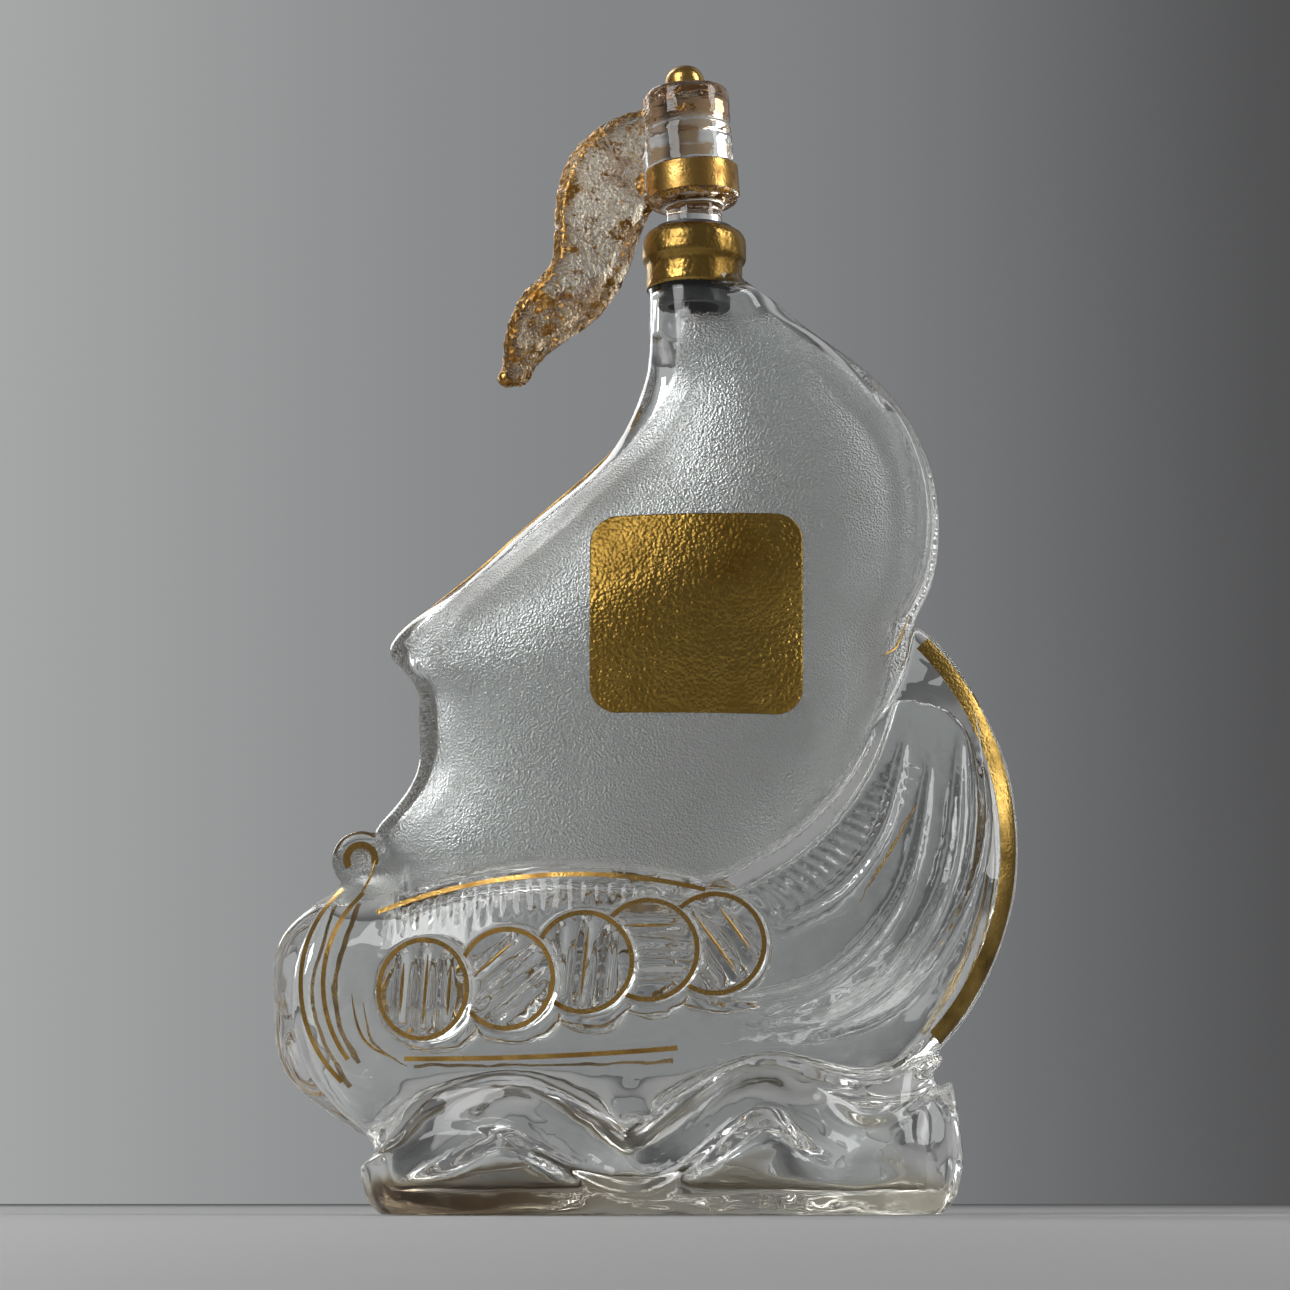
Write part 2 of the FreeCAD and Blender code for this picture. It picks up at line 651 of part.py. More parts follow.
def shield_solid(lean):
    """A round shield that faces +Z, with three raised bars."""
    radius = size["shield_radius"]
    proud = size["shield_proud"]
    sunk = size["shield_sunk"]
    disc = Part.makeCylinder(radius, proud + sunk, Vector(0, 0, -sunk))
    bars = []
    for row in (-1, 0, 1):
        offset = row * size["shield_bar_pitch"]
        half = circle_reach(0, radius - 2.0 * size["rim_width"], offset)
        bar = Part.makeCylinder(size["shield_bar"], 2.0 * half, Vector(offset, -half, proud), Vector(0, 1, 0))
        bar.rotate(Vector(0, 0, 0), Vector(0, 0, 1), -lean)
        bars.append(bar)
    return disc.fuse(bars)


def shield_seat(x, z):
    """Seat of a port shield: on the hull, facing out and turned a little to the bow."""
    step = 1.0
    slope = (hull_surface_y(x + step, z) - hull_surface_y(x - step, z)) / (2.0 * step)
    angle = math.atan(slope) + math.radians(size["shield_turn"])
    aft = Vector(math.cos(angle), -math.sin(angle), 0)
    up = Vector(0, 0, 1)
    rotation = FreeCAD.Rotation(aft, up, aft.cross(up), "ZXY")
    return FreeCAD.Placement(Vector(x, -hull_surface_y(x, z), z), rotation)


def rim_solid():
    """The gold rim that lies on a shield's face."""
    face = Vector(0, 0, size["shield_proud"])
    ring = Part.makeCylinder(size["shield_radius"], size["gilt_thick"], face)
    inside = Part.makeCylinder(size["shield_radius"] - size["rim_width"], size["gilt_thick"], face)
    return ring.cut(inside)


port_shields = []
port_rings = []
for number, which in enumerate(SHIELDS, start=1):
    x = size[f"{which}_shield_abaft"]
    seat = shield_seat(x, gunwale_z(x) - size[f"{which}_shield_drop"])
    shield = shaped(f"shield_{number}", shield_solid(size[f"{which}_shield_lean"]))
    shield.Placement = seat
    port_shields.append(shield)
    ring = shaped(f"ring_{number}", rim_solid())
    ring.Placement = seat
    port_rings.append(ring)
starboard_shields = [mirrored(shield.Name + "_starboard", shield) for shield in port_shields]

outside = fused("outside", [
    sail, hull, rear_waves, front_waves, scroll, collar, *port_shields, *starboard_shields,
])

# Hollow of the bottle, one space from the floor of the hull to the mouth
sail_hollow = shaped("sail_hollow", sail_form(hollow=True))
hull_hollow = shaped("hull_hollow", hull_form(hollow=True))
base_hollow = shaped("base_hollow", base_hollow_form())
bore = bound(
    "Part::Cylinder", "bore",
    Radius="Sizes.bore_radius",
    Height="Sizes.lip_top_z - Sizes.bore_low_z + 1",
    Placement__Base__z="Sizes.bore_low_z",
)
hollow = fused("hollow", [sail_hollow, hull_hollow, base_hollow])
doc.recompute()


def with_hollow(outer, inner):
    """A solid whose outer shell wraps a closed hollow."""
    lining = inner.Shells[0].copy()
    lining.reverse()
    return Part.makeSolid(Part.Compound([outer.Shells[0], lining]))


blown = with_hollow(outside.Shape, hollow.Shape)
glass_bottle = shaped("glass_bottle", blown.cut(bore.Shape))

# Foil and label
foil_radius = "Sizes.lip_radius + Sizes.foil_thick"
foil_blank = turned("foil_blank", [
    ("0", "Sizes.collar_low_z"),
    ("Sizes.collar_radius + Sizes.foil_thick", "Sizes.collar_low_z"),
    ("Sizes.collar_radius + Sizes.foil_thick", "Sizes.lip_low_z - Sizes.foil_thick"),
    *foot_bevel(foil_radius, "Sizes.lip_low_z - Sizes.foil_thick", "Sizes.lip_under_round"),
    *top_bevel(foil_radius, "Sizes.lip_top_z + Sizes.foil_thick", "(Sizes.lip_round + Sizes.foil_thick)"),
    ("0", "Sizes.lip_top_z + Sizes.foil_thick"),
])
foil_mouth = bound(
    "Part::Cylinder", "foil_mouth",
    Radius="Sizes.flange_radius + Sizes.foil_margin",
    Height="Sizes.lip_top_z - Sizes.collar_low_z",
    Placement__Base__z="Sizes.lip_low_z",
)
neck_foil = paired("Part::Cut", "neck_foil", foil_blank, fused("neck_glass", [collar, sail, foil_mouth]))


def label_prism():
    """Rounded rectangle of the label, carried through the port face of the sail."""
    half = size["label_width"] / 2.0
    low = size["label_z"] - size["label_height"] / 2.0
    block = Part.makeBox(
        size["label_width"], 2.0 * size["sail_belly"], size["label_height"],
        Vector(-half, -2.0 * size["sail_belly"], low),
    )
    corners = [edge for edge in block.Edges if abs(edge.tangentAt(edge.FirstParameter).y) > 0.99]
    return block.makeFillet(size["label_round"], corners)


label_back = shaped("label_back", sail_form(grown=size["label_glue"]))
label_front = sail_form(grown=size["label_glue"] + size["label_thick"])
label_sheet = shaped("label_sheet", label_prism().common(label_front))
label = paired("Part::Cut", "label", label_sheet, label_back)


# Gold lines, each a thin strip on the glass
def ribbon(start, middle, end, width):
    """A strip along an arc through three places, carried through the port side."""
    circle = Part.Circle(start, middle, end)

    def beside(place, offset):
        return circle.Center + (place - circle.Center) * ((circle.Radius + offset) / circle.Radius)

    outer = [beside(place, width / 2.0) for place in (start, middle, end)]
    inner = [beside(place, -width / 2.0) for place in (end, middle, start)]
    edges = [
        Part.Arc(*outer).toShape(),
        Part.LineSegment(outer[-1], inner[0]).toShape(),
        Part.Arc(*inner).toShape(),
        Part.LineSegment(inner[-1], outer[0]).toShape(),
    ]
    return Part.Face(Part.Wire(edges)).extrude(Vector(0, -2.0 * size["beam_half"], 0))


grown_hull = hull_form(grown=size["gilt_thick"])
line_width = size["line_width"]
gunwale_drop = size["gunwale_gap"] + line_width / 2.0
band_radius = size["stern_radius"] - size["stern_edge"] - size["stern_band"] / 2.0
band_high_z = size["foot_z"] - size["stern_band"]


def band_x(z):
    """Middle of the sternpost's gold band at a height."""
    return size["stern_abaft"] + circle_reach(size["stern_z"], band_radius, z)


def behind_stem(inset, height):
    """A place on the bow, by its distance behind the stem's edge at a height."""
    return Vector(stem_x(size[height]) + size[inset], 0, size[height])


port_lines = {
    "gilt_gunwale": ribbon(
        Vector(-size["gunwale_bow_ahead"], 0, size["gunwale_bow_z"]),
        Vector(-size["sheer_mid_ahead"], 0, size["sheer_mid_z"] - gunwale_drop),
        Vector(size["sheer_low_abaft"], 0, gunwale_low_z() - gunwale_drop),
        line_width,
    ),
    "gilt_waterline": ribbon(
        Vector(-size["water_bow_ahead"], 0, size["water_bow_z"]),
        Vector(-size["water_mid_ahead"], 0, size["water_mid_z"]),
        Vector(-size["water_stern_ahead"], 0, size["water_stern_z"]),
        line_width,
    ),
    "gilt_bow_inner": ribbon(
        behind_stem("inner_top_inset", "inner_top_z"),
        behind_stem("inner_inset", "bow_line_z"),
        behind_stem("inner_low_inset", "inner_low_z"),
        line_width,
    ),
    "gilt_bow_outer": ribbon(
        behind_stem("outer_top_inset", "outer_top_z"),
        behind_stem("outer_inset", "bow_line_z"),
        behind_stem("outer_low_inset", "outer_low_z"),
        line_width,
    ),
    "gilt_sternpost": ribbon(
        Vector(band_x(size["stern_band_low_z"]), 0, size["stern_band_low_z"]),
        Vector(band_x(size["stern_z"]), 0, size["stern_z"]),
        Vector(band_x(band_high_z), 0, band_high_z),
        size["stern_band"],
    ),
}
trims = []
for name, port_strip in port_lines.items():
    starboard_strip = port_strip.mirror(Vector(0, 0, 0), Vector(0, 1, 0))
    for side, strip in (("port", port_strip), ("starboard", starboard_strip)):
        skin = shaped(f"{name}_{side}_skin", strip.common(grown_hull))
        trims.append(paired("Part::Cut", f"{name}_{side}", skin, outside))

for number, ring in enumerate(port_rings, start=1):
    lapped_by = fused(f"lap_{number}", [hull, port_shields[number - 2]]) if number > 1 else hull
    port = paired("Part::Cut", f"gilt_rim_port_{number}", ring, lapped_by)
    trims += [port, mirrored(f"gilt_rim_starboard_{number}", port)]


def hook_place(angle):
    """A place on the curl of the scroll, by its angle from aft upwards."""
    turn = math.radians(angle)
    centre = Vector(-size["scroll_ahead"], 0, size["scroll_z"])
    return centre + Vector(math.cos(turn), 0, math.sin(turn)) * size["hook_radius"]


hook_middle = (size["hook_start"] + size["hook_end"]) / 2.0
curl = ribbon(
    hook_place(size["hook_start"]), hook_place(hook_middle), hook_place(size["hook_end"]), size["hook_width"]
)
face_plate = bound(
    "Part::Cylinder", "face_plate",
    Radius="Sizes.scroll_radius",
    Height="Sizes.gilt_thick",
    Placement__Base__x="-Sizes.scroll_ahead",
    Placement__Base__y="-Sizes.scroll_half",
    Placement__Base__z="Sizes.scroll_z",
)
face_plate.Placement.Rotation = FreeCAD.Rotation(Vector(1, 0, 0), 90)
curl_strip = shaped("curl_strip", curl)
scroll_port = paired("Part::Common", "gilt_scroll_port", face_plate, curl_strip)
trims += [scroll_port, mirrored("gilt_scroll_starboard", scroll_port)]

# Stopper
stopper_sleeve = turned("stopper_sleeve", [
    ("Sizes.peg_radius + Sizes.peg_play", "Sizes.lip_top_z - Sizes.sleeve_length"),
    ("Sizes.bore_radius - Sizes.sleeve_play", "Sizes.lip_top_z - Sizes.sleeve_length"),
    ("Sizes.bore_radius - Sizes.sleeve_play", "Sizes.lip_top_z"),
    ("Sizes.flange_radius", "Sizes.lip_top_z"),
    ("Sizes.flange_radius", "Sizes.lip_top_z + Sizes.flange_thick"),
    ("Sizes.peg_radius + Sizes.peg_play", "Sizes.lip_top_z + Sizes.flange_thick"),
])
fin_low = "Sizes.lip_top_z - Sizes.sleeve_length + Sizes.fin_pitch / 2"
fin_sketch = profile(stopper_sleeve, "fin_profile", [
    ("Sizes.bore_radius - Sizes.sleeve_play - Sizes.fin_depth", fin_low),
    ("Sizes.bore_radius + Sizes.fin_depth", fin_low),
    ("Sizes.bore_radius + Sizes.fin_depth", fin_low + " + Sizes.fin_pitch / 2"),
    ("Sizes.bore_radius - Sizes.sleeve_play - Sizes.fin_depth", fin_low + " + Sizes.fin_pitch / 2"),
])
fin_groove = stopper_sleeve.newObject("PartDesign::Groove", "fin_groove")
fin_groove.Profile = fin_sketch
fin_groove.ReferenceAxis = (fin_sketch, ["V_Axis"])
fin_groove.Angle = 360.0
doc.recompute()
fin_count = 4
fins = stopper_sleeve.newObject("PartDesign::LinearPattern", "fins")
fins.Originals = [fin_groove]
fins.Direction = (fin_sketch, ["V_Axis"])
fins.Occurrences = fin_count
fins.setExpression("Length", f"{fin_count - 1} * Sizes.fin_pitch")
stopper_sleeve.Tip = fins

seat_z = size["lip_top_z"] + size["flange_thick"]
head_z = seat_z + size["shank_length"]
peg = turned("peg", [
    ("0", "Sizes.lip_top_z + Sizes.flange_thick - Sizes.peg_length"),
    ("Sizes.peg_radius", "Sizes.lip_top_z + Sizes.flange_thick - Sizes.peg_length"),
    ("Sizes.peg_radius", "Sizes.lip_top_z + Sizes.flange_thick"),
    ("Sizes.shank_radius", "Sizes.lip_top_z + Sizes.flange_thick"),
    ("Sizes.shank_radius", "Sizes.lip_top_z + Sizes.flange_thick + Sizes.shank_length + Sizes.skirt_height"),
    ("0", "Sizes.lip_top_z + Sizes.flange_thick + Sizes.shank_length + Sizes.skirt_height"),
])
drum = turned("drum", [
    ("0", "0"),
    *foot_bevel("Sizes.skirt_radius", "0", "Sizes.skirt_round"),
    ("Sizes.skirt_radius", "Sizes.skirt_height"),
    ("Sizes.drum_radius", "Sizes.skirt_height"),
    ("Sizes.drum_radius", "Sizes.groove_rise"),
    ("Sizes.drum_radius - Sizes.groove_depth", "Sizes.groove_rise"),
    ("Sizes.drum_radius - Sizes.groove_depth", "Sizes.groove_rise + Sizes.groove_width"),
    ("Sizes.drum_radius", "Sizes.groove_rise + Sizes.groove_width"),
    *top_bevel("Sizes.drum_radius", "Sizes.drum_height", "Sizes.drum_round"),
    ("0", "Sizes.drum_height"),
])
band_blank = turned("band_blank", [
    ("Sizes.skirt_radius", "Sizes.skirt_round"),
    ("Sizes.skirt_radius + Sizes.gilt_thick", "Sizes.skirt_round"),
    ("Sizes.skirt_radius + Sizes.gilt_thick", "Sizes.skirt_height"),
    ("Sizes.skirt_radius", "Sizes.skirt_height"),
])
masthead_knob = turned("masthead_knob", [
    ("0", "Sizes.drum_height"),
    ("Sizes.knob_radius", "Sizes.drum_height"),
    ("Sizes.knob_radius", "Sizes.drum_height + Sizes.knob_height"),
    ("0", "Sizes.drum_height + Sizes.knob_height"),
])
knob_blank = masthead_knob.Tip
knob_edges = [f"Edge{index}" for index, edge in enumerate(knob_blank.Shape.Edges, start=1)
              if edge.isClosed() and edge.CenterOfMass.z > size["drum_height"] + size["knob_height"] / 2.0]
knob_top = masthead_knob.newObject("PartDesign::Fillet", "knob_top")
knob_top.Base = (knob_blank, knob_edges)
knob_top.setExpression("Radius", "Sizes.knob_round")
doc.recompute()
leaning = FreeCAD.Placement(Vector(0, 0, head_z), FreeCAD.Rotation(Vector(0, 1, 0), -size["head_lean"]))
for body in (drum, band_blank, masthead_knob):
    body.Placement = leaning

# Pennant, from its hoist to its tip: outer edge and inner edge as shares of its reach ahead of the mast
# and of its rise or drop from the foot of the skirt
PENNANT_WAVES = 1.25
PENNANT_EDGE = 0.8
PENNANT = [
    ((0.10, 1.00), (0.10, 0.12)),
    ((0.32, 0.97), (0.22, -0.02)),
    ((0.51, 0.80), (0.28, -0.11)),
    ((0.66, 0.42), (0.33, -0.24)),
    ((0.71, -0.06), (0.38, -0.37)),
    ((0.725, -0.31), (0.44, -0.50)),
    ((0.82, -0.44), (0.57, -0.67)),
    ((0.93, -0.62), (0.70, -0.76)),
    ((0.97, -0.82), (0.80, -0.90)),
    ((1.00, -0.96), (0.90, -1.00)),
]


def pennant_place(share):
    ahead, rise = share
    height = size["pennant_rise"] if rise > 0 else size["pennant_drop"]
    return Vector(-size["pennant_reach"] * ahead, 0, head_z + height * rise)


def pennant_section(number):
    """A flat section with bevelled edges, set across the run of the pennant and shifted by its ripple."""
    share = number / (len(PENNANT) - 1)
    outer, inner = (pennant_place(edge) for edge in PENNANT[number])
    half = (outer - inner).Length / 2.0
    along = (outer - inner).normalize()
    radius = min(half * PENNANT_EDGE, between(size["pennant_thick"], size["pennant_tip_thick"], share) / 2.0)
    across = Vector(0, 1, 0)
    ripple = size["pennant_ripple"] * math.sin(2.0 * math.pi * PENNANT_WAVES * share)
    centre = (outer + inner) * 0.5 + across * ripple

    def at(run, side):
        return centre + along * run + across * side

    flat = half - radius
    corners = [
        at(-flat, -radius), at(flat, -radius), at(half, 0), at(flat, radius), at(-flat, radius), at(-half, 0),
    ]
    return Part.makePolygon(corners + corners[:1])


pennant = shaped("pennant", loft([pennant_section(number) for number in range(len(PENNANT))]))
doc.recompute()
stopper_glass = fused("stopper_glass", [peg, drum, pennant])
skirt_band = paired("Part::Cut", "skirt_band", band_blank, pennant)
doc.recompute()

# Check and write
sub_parts = [glass_bottle, neck_foil, label, stopper_sleeve, stopper_glass, masthead_knob, skirt_band, *trims]
for thing in doc.Objects:
    if "Invalid" in thing.State or "Error" in thing.State:
        raise RuntimeError(f"{thing.Name} failed: {thing.State}")
for thing in sub_parts:
    if thing.Shape.isNull() or not thing.Shape.isValid() or not thing.Shape.Solids:
        raise RuntimeError(f"{thing.Label} has no valid solid")
os.makedirs("parts", exist_ok=True)
for thing in sub_parts:
    box = thing.Shape.BoundBox
    print(thing.Label, len(thing.Shape.Solids), "solids", round(thing.Shape.Volume, 1), "mm3",
          [round(v, 1) for v in (box.XMin, box.XMax, box.YMin, box.YMax, box.ZMin, box.ZMax)])
    thing.Shape.exportStep(f"parts/{thing.Label}.step")
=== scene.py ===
import math

import bmesh
import bpy
from mathutils import Matrix, Vector, noise
from mathutils.bvhtree import BVHTree


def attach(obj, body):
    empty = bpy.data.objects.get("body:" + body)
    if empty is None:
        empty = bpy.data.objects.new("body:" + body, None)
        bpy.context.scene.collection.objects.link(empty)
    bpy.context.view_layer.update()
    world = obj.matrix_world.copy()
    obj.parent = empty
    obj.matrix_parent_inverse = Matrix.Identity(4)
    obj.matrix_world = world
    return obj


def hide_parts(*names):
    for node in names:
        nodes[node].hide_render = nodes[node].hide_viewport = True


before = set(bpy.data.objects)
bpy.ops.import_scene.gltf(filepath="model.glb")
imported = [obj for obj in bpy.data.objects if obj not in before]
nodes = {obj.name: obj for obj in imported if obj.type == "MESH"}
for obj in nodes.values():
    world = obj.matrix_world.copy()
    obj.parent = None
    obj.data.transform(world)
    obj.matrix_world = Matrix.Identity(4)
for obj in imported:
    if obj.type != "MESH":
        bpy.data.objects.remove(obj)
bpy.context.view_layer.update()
scene = bpy.context.scene
scene.view_settings.view_transform = "Standard"
# light runs a long way in the thick edges of the glass
scene.cycles.max_bounces = 28
scene.cycles.transmission_bounces = 28
scene.cycles.glossy_bounces = 20
mm = 0.001  # the tables below are in millimetres
print("frame loaded,", len(nodes), "nodes")


def between(start, end, share):
    return start + (end - start) * share


def ease(share):
    share = min(1.0, max(0.0, share))
    return share * share * (3.0 - 2.0 * share)


# materials
def startMaterial(name):
    material = bpy.data.materials.new(name)
    material.use_nodes = True
    tree = material.node_tree
    return material, tree, tree.nodes["Principled BSDF"]


def addNode(tree, kind, **settings):
    node = tree.nodes.new(kind)
    for name, value in settings.items():
        setattr(node, name, value)
    return node


def setInputs(node, **values):
    for name, value in values.items():
        node.inputs[name].default_value = value
    return node


def wire(tree, source, target):
    tree.links.new(source, target)


def objectCoords(tree):
    return addNode(tree, "ShaderNodeTexCoord").outputs["Object"]


def makeGroup(name, inputs, outputs):
    tree = bpy.data.node_groups.new(name, "ShaderNodeTree")
    for label, kind, value in inputs:
        socket = tree.interface.new_socket(label, in_out="INPUT", socket_type=kind)
        if value is not None:
            socket.default_value = value
    for label, kind in outputs:
        tree.interface.new_socket(label, in_out="OUTPUT", socket_type=kind)
    start = tree.nodes.new("NodeGroupInput")
    end = tree.nodes.new("NodeGroupOutput")
    return tree, start, end


def placeGroup(tree, group, coords, **values):
    node = tree.nodes.new("ShaderNodeGroup")
    node.node_tree = group
    wire(tree, coords, node.inputs["Vector"])
    for name, value in values.items():
        node.inputs[name].default_value = value
    return node


def makeGrainGroup():
    # two sizes of pebble and a slow swell, for etched glass and pressed foil
    tree, start, end = makeGroup(
        "pebbleGrain",
        [("Vector", "NodeSocketVector", None), ("Pebble Size", "NodeSocketFloat", 900.0),
         ("Swell Size", "NodeSocketFloat", 60.0), ("Swell", "NodeSocketFloat", 0.5)],
        [("Height", "NodeSocketFloat"), ("Patches", "NodeSocketFloat")],
    )
    pebbles = addNode(tree, "ShaderNodeTexVoronoi", feature="SMOOTH_F1")
    setInputs(pebbles, Smoothness=0.6)
    fine = setInputs(addNode(tree, "ShaderNodeTexNoise"), Detail=3.0, Roughness=0.6)
    swell = setInputs(addNode(tree, "ShaderNodeTexNoise"), Detail=2.0, Roughness=0.5)
    for texture in (pebbles, fine, swell):
        wire(tree, start.outputs["Vector"], texture.inputs["Vector"])
    wire(tree, start.outputs["Pebble Size"], pebbles.inputs["Scale"])
    wire(tree, start.outputs["Pebble Size"], fine.inputs["Scale"])
    wire(tree, start.outputs["Swell Size"], swell.inputs["Scale"])
    both = addNode(tree, "ShaderNodeMath", operation="SUBTRACT")
    wire(tree, fine.outputs["Fac"], both.inputs[0])
    wire(tree, pebbles.outputs["Distance"], both.inputs[1])
    rise = addNode(tree, "ShaderNodeMath", operation="MULTIPLY_ADD")
    wire(tree, swell.outputs["Fac"], rise.inputs[0])
    wire(tree, start.outputs["Swell"], rise.inputs[1])
    wire(tree, both.outputs[0], rise.inputs[2])
    wire(tree, rise.outputs[0], end.inputs["Height"])
    wire(tree, swell.outputs["Fac"], end.inputs["Patches"])
    return tree


def makeGoldGroup():
    # burnished and dull patches of gold, with specks where it has worn thin
    tree, start, end = makeGroup(
        "wornGold",
        [("Vector", "NodeSocketVector", None), ("Bright", "NodeSocketColor", (0.86, 0.60, 0.20, 1.0)),
         ("Dull", "NodeSocketColor", (0.48, 0.29, 0.07, 1.0)), ("Patch Size", "NodeSocketFloat", 90.0),
         ("Speck Size", "NodeSocketFloat", 700.0), ("Cover", "NodeSocketFloat", 0.5)],
        [("Color", "NodeSocketColor"), ("Roughness", "NodeSocketFloat"), ("Cover", "NodeSocketFloat")],
    )
    patches = setInputs(addNode(tree, "ShaderNodeTexNoise"), Detail=4.0, Roughness=0.6)
    specks = setInputs(addNode(tree, "ShaderNodeTexNoise"), Detail=2.0, Roughness=0.7)
    for texture, size in ((patches, "Patch Size"), (specks, "Speck Size")):
        wire(tree, start.outputs["Vector"], texture.inputs["Vector"])
        wire(tree, start.outputs[size], texture.inputs["Scale"])
    shade = setInputs(addNode(tree, "ShaderNodeMapRange"), **{"From Min": 0.35, "From Max": 0.68})
    wire(tree, patches.outputs["Fac"], shade.inputs["Value"])
    colour = addNode(tree, "ShaderNodeMix", data_type="RGBA")
    wire(tree, shade.outputs[0], colour.inputs["Factor"])
    wire(tree, start.outputs["Bright"], colour.inputs["A"])
    wire(tree, start.outputs["Dull"], colour.inputs["B"])
    wire(tree, colour.outputs["Result"], end.inputs["Color"])
    rough = setInputs(addNode(tree, "ShaderNodeMapRange"), **{"To Min": 0.16, "To Max": 0.44})
    wire(tree, shade.outputs[0], rough.inputs["Value"])
    wire(tree, rough.outputs[0], end.inputs["Roughness"])
    spread = addNode(tree, "ShaderNodeMath", operation="ADD")
    wire(tree, patches.outputs["Fac"], spread.inputs[0])
    wire(tree, specks.outputs["Fac"], spread.inputs[1])
    kept = setInputs(addNode(tree, "ShaderNodeMapRange"), **{"From Min": -0.06, "From Max": 0.06})
    edge = addNode(tree, "ShaderNodeMath", operation="SUBTRACT")
    wire(tree, spread.outputs[0], edge.inputs[0])
    limit = addNode(tree, "ShaderNodeMath", operation="MULTIPLY_ADD")
    limit.inputs[1].default_value = -0.8
    limit.inputs[2].default_value = 1.4
    wire(tree, start.outputs["Cover"], limit.inputs[0])
    wire(tree, limit.outputs[0], edge.inputs[1])
    wire(tree, edge.outputs[0], kept.inputs["Value"])
    wire(tree, kept.outputs[0], end.inputs["Cover"])
    return tree


pebbleGrain = makeGrainGroup()
wornGold = makeGoldGroup()


def makeGlass(name, look):
    material, tree, shader = startMaterial(name)
    setInputs(shader, **{"IOR": look["ior"], "Transmission Weight": 1.0, "Metallic": 0.0})
    coords = objectCoords(tree)
    frost = addNode(tree, "ShaderNodeAttribute", attribute_name="frost").outputs["Fac"]
    stain = addNode(tree, "ShaderNodeAttribute", attribute_name="stain").outputs["Fac"]
    grain = placeGroup(tree, pebbleGrain, coords, **{
        "Pebble Size": look["pebbleSize"], "Swell Size": look["swellSize"], "Swell": look["swell"]})
    field = addNode(tree, "ShaderNodeMix", data_type="RGBA")
    field.inputs["A"].default_value = look["clear"]
    field.inputs["B"].default_value = look["etched"]
    wire(tree, frost, field.inputs["Factor"])
    # a thin stain is amber, a thick one brown
    trace = addNode(tree, "ShaderNodeMix", data_type="RGBA")
    trace.inputs["A"].default_value = look["film"]
    trace.inputs["B"].default_value = look["stained"]
    wire(tree, stain, trace.inputs["Factor"])
    tint = addNode(tree, "ShaderNodeMix", data_type="RGBA")
    wire(tree, trace.outputs["Result"], tint.inputs["B"])
    wire(tree, field.outputs["Result"], tint.inputs["A"])
    wire(tree, stain, tint.inputs["Factor"])
    wire(tree, tint.outputs["Result"], shader.inputs["Base Color"])
    etched = setInputs(addNode(tree, "ShaderNodeMapRange"),
                       **{"To Min": look["etchedSmooth"], "To Max": look["etchedRough"]})
    wire(tree, grain.outputs["Patches"], etched.inputs["Value"])
    rough = addNode(tree, "ShaderNodeMix", data_type="FLOAT")
    rough.inputs["A"].default_value = look["polish"]
    wire(tree, frost, rough.inputs["Factor"])
    wire(tree, etched.outputs[0], rough.inputs["B"])
    wire(tree, rough.outputs["Result"], shader.inputs["Roughness"])
    # polished glass keeps a trace of the mould's skin
    height = addNode(tree, "ShaderNodeMix", data_type="FLOAT")
    wire(tree, frost, height.inputs["Factor"])
    swell = addNode(tree, "ShaderNodeMath", operation="MULTIPLY")
    swell.inputs[1].default_value = look["mouldSkin"]
    wire(tree, grain.outputs["Patches"], swell.inputs[0])
    wire(tree, swell.outputs[0], height.inputs["A"])
    wire(tree, grain.outputs["Height"], height.inputs["B"])
    bump = setInputs(addNode(tree, "ShaderNodeBump"), Strength=look["bump"], Distance=look["depth"])
    wire(tree, height.outputs["Result"], bump.inputs["Height"])
    wire(tree, bump.outputs["Normal"], shader.inputs["Normal"])
    return material


def makeGold(name, look):
    material, tree, shader = startMaterial(name)
    setInputs(shader, Metallic=1.0)
    coords = objectCoords(tree)
    gold = placeGroup(tree, wornGold, coords, **{
        "Bright": look["bright"], "Dull": look["dull"], "Patch Size": look["patchSize"],
        "Speck Size": look["speckSize"]})
    wire(tree, gold.outputs["Color"], shader.inputs["Base Color"])
    wire(tree, gold.outputs["Roughness"], shader.inputs["Roughness"])
    if look["worn"]:
        wash = addNode(tree, "ShaderNodeAttribute", attribute_name="wash")
        wire(tree, wash.outputs["Fac"], gold.inputs["Cover"])
        wire(tree, gold.outputs["Cover"], shader.inputs["Alpha"])
    grain = placeGroup(tree, pebbleGrain, coords, **{
        "Pebble Size": look["pebbleSize"], "Swell Size": look["creaseSize"], "Swell": look["crease"]})
    bump = setInputs(addNode(tree, "ShaderNodeBump"), Strength=look["bump"], Distance=look["depth"])
    wire(tree, grain.outputs["Height"], bump.inputs["Height"])
    wire(tree, bump.outputs["Normal"], shader.inputs["Normal"])
    return material


bottleLook = dict(
    ior=1.5, clear=(0.965, 0.975, 0.965, 1.0), etched=(0.78, 0.81, 0.805, 1.0), film=(0.78, 0.60, 0.12, 1.0),
    stained=(0.16, 0.065, 0.006, 1.0), pebbleSize=1700.0, swellSize=45.0, swell=0.25, polish=0.01,
    etchedSmooth=0.30, etchedRough=0.42, mouldSkin=1.4, bump=1.0, depth=0.0006,
)
stopperLook = dict(
    ior=1.5, clear=(0.97, 0.965, 0.94, 1.0), etched=(0.80, 0.74, 0.62, 1.0), film=(0.80, 0.55, 0.22, 1.0),
    stained=(0.36, 0.15, 0.025, 1.0), pebbleSize=1100.0, swellSize=160.0, swell=0.6, polish=0.02,
    etchedSmooth=0.05, etchedRough=0.12, mouldSkin=0.5, bump=0.9, depth=0.0007,
)
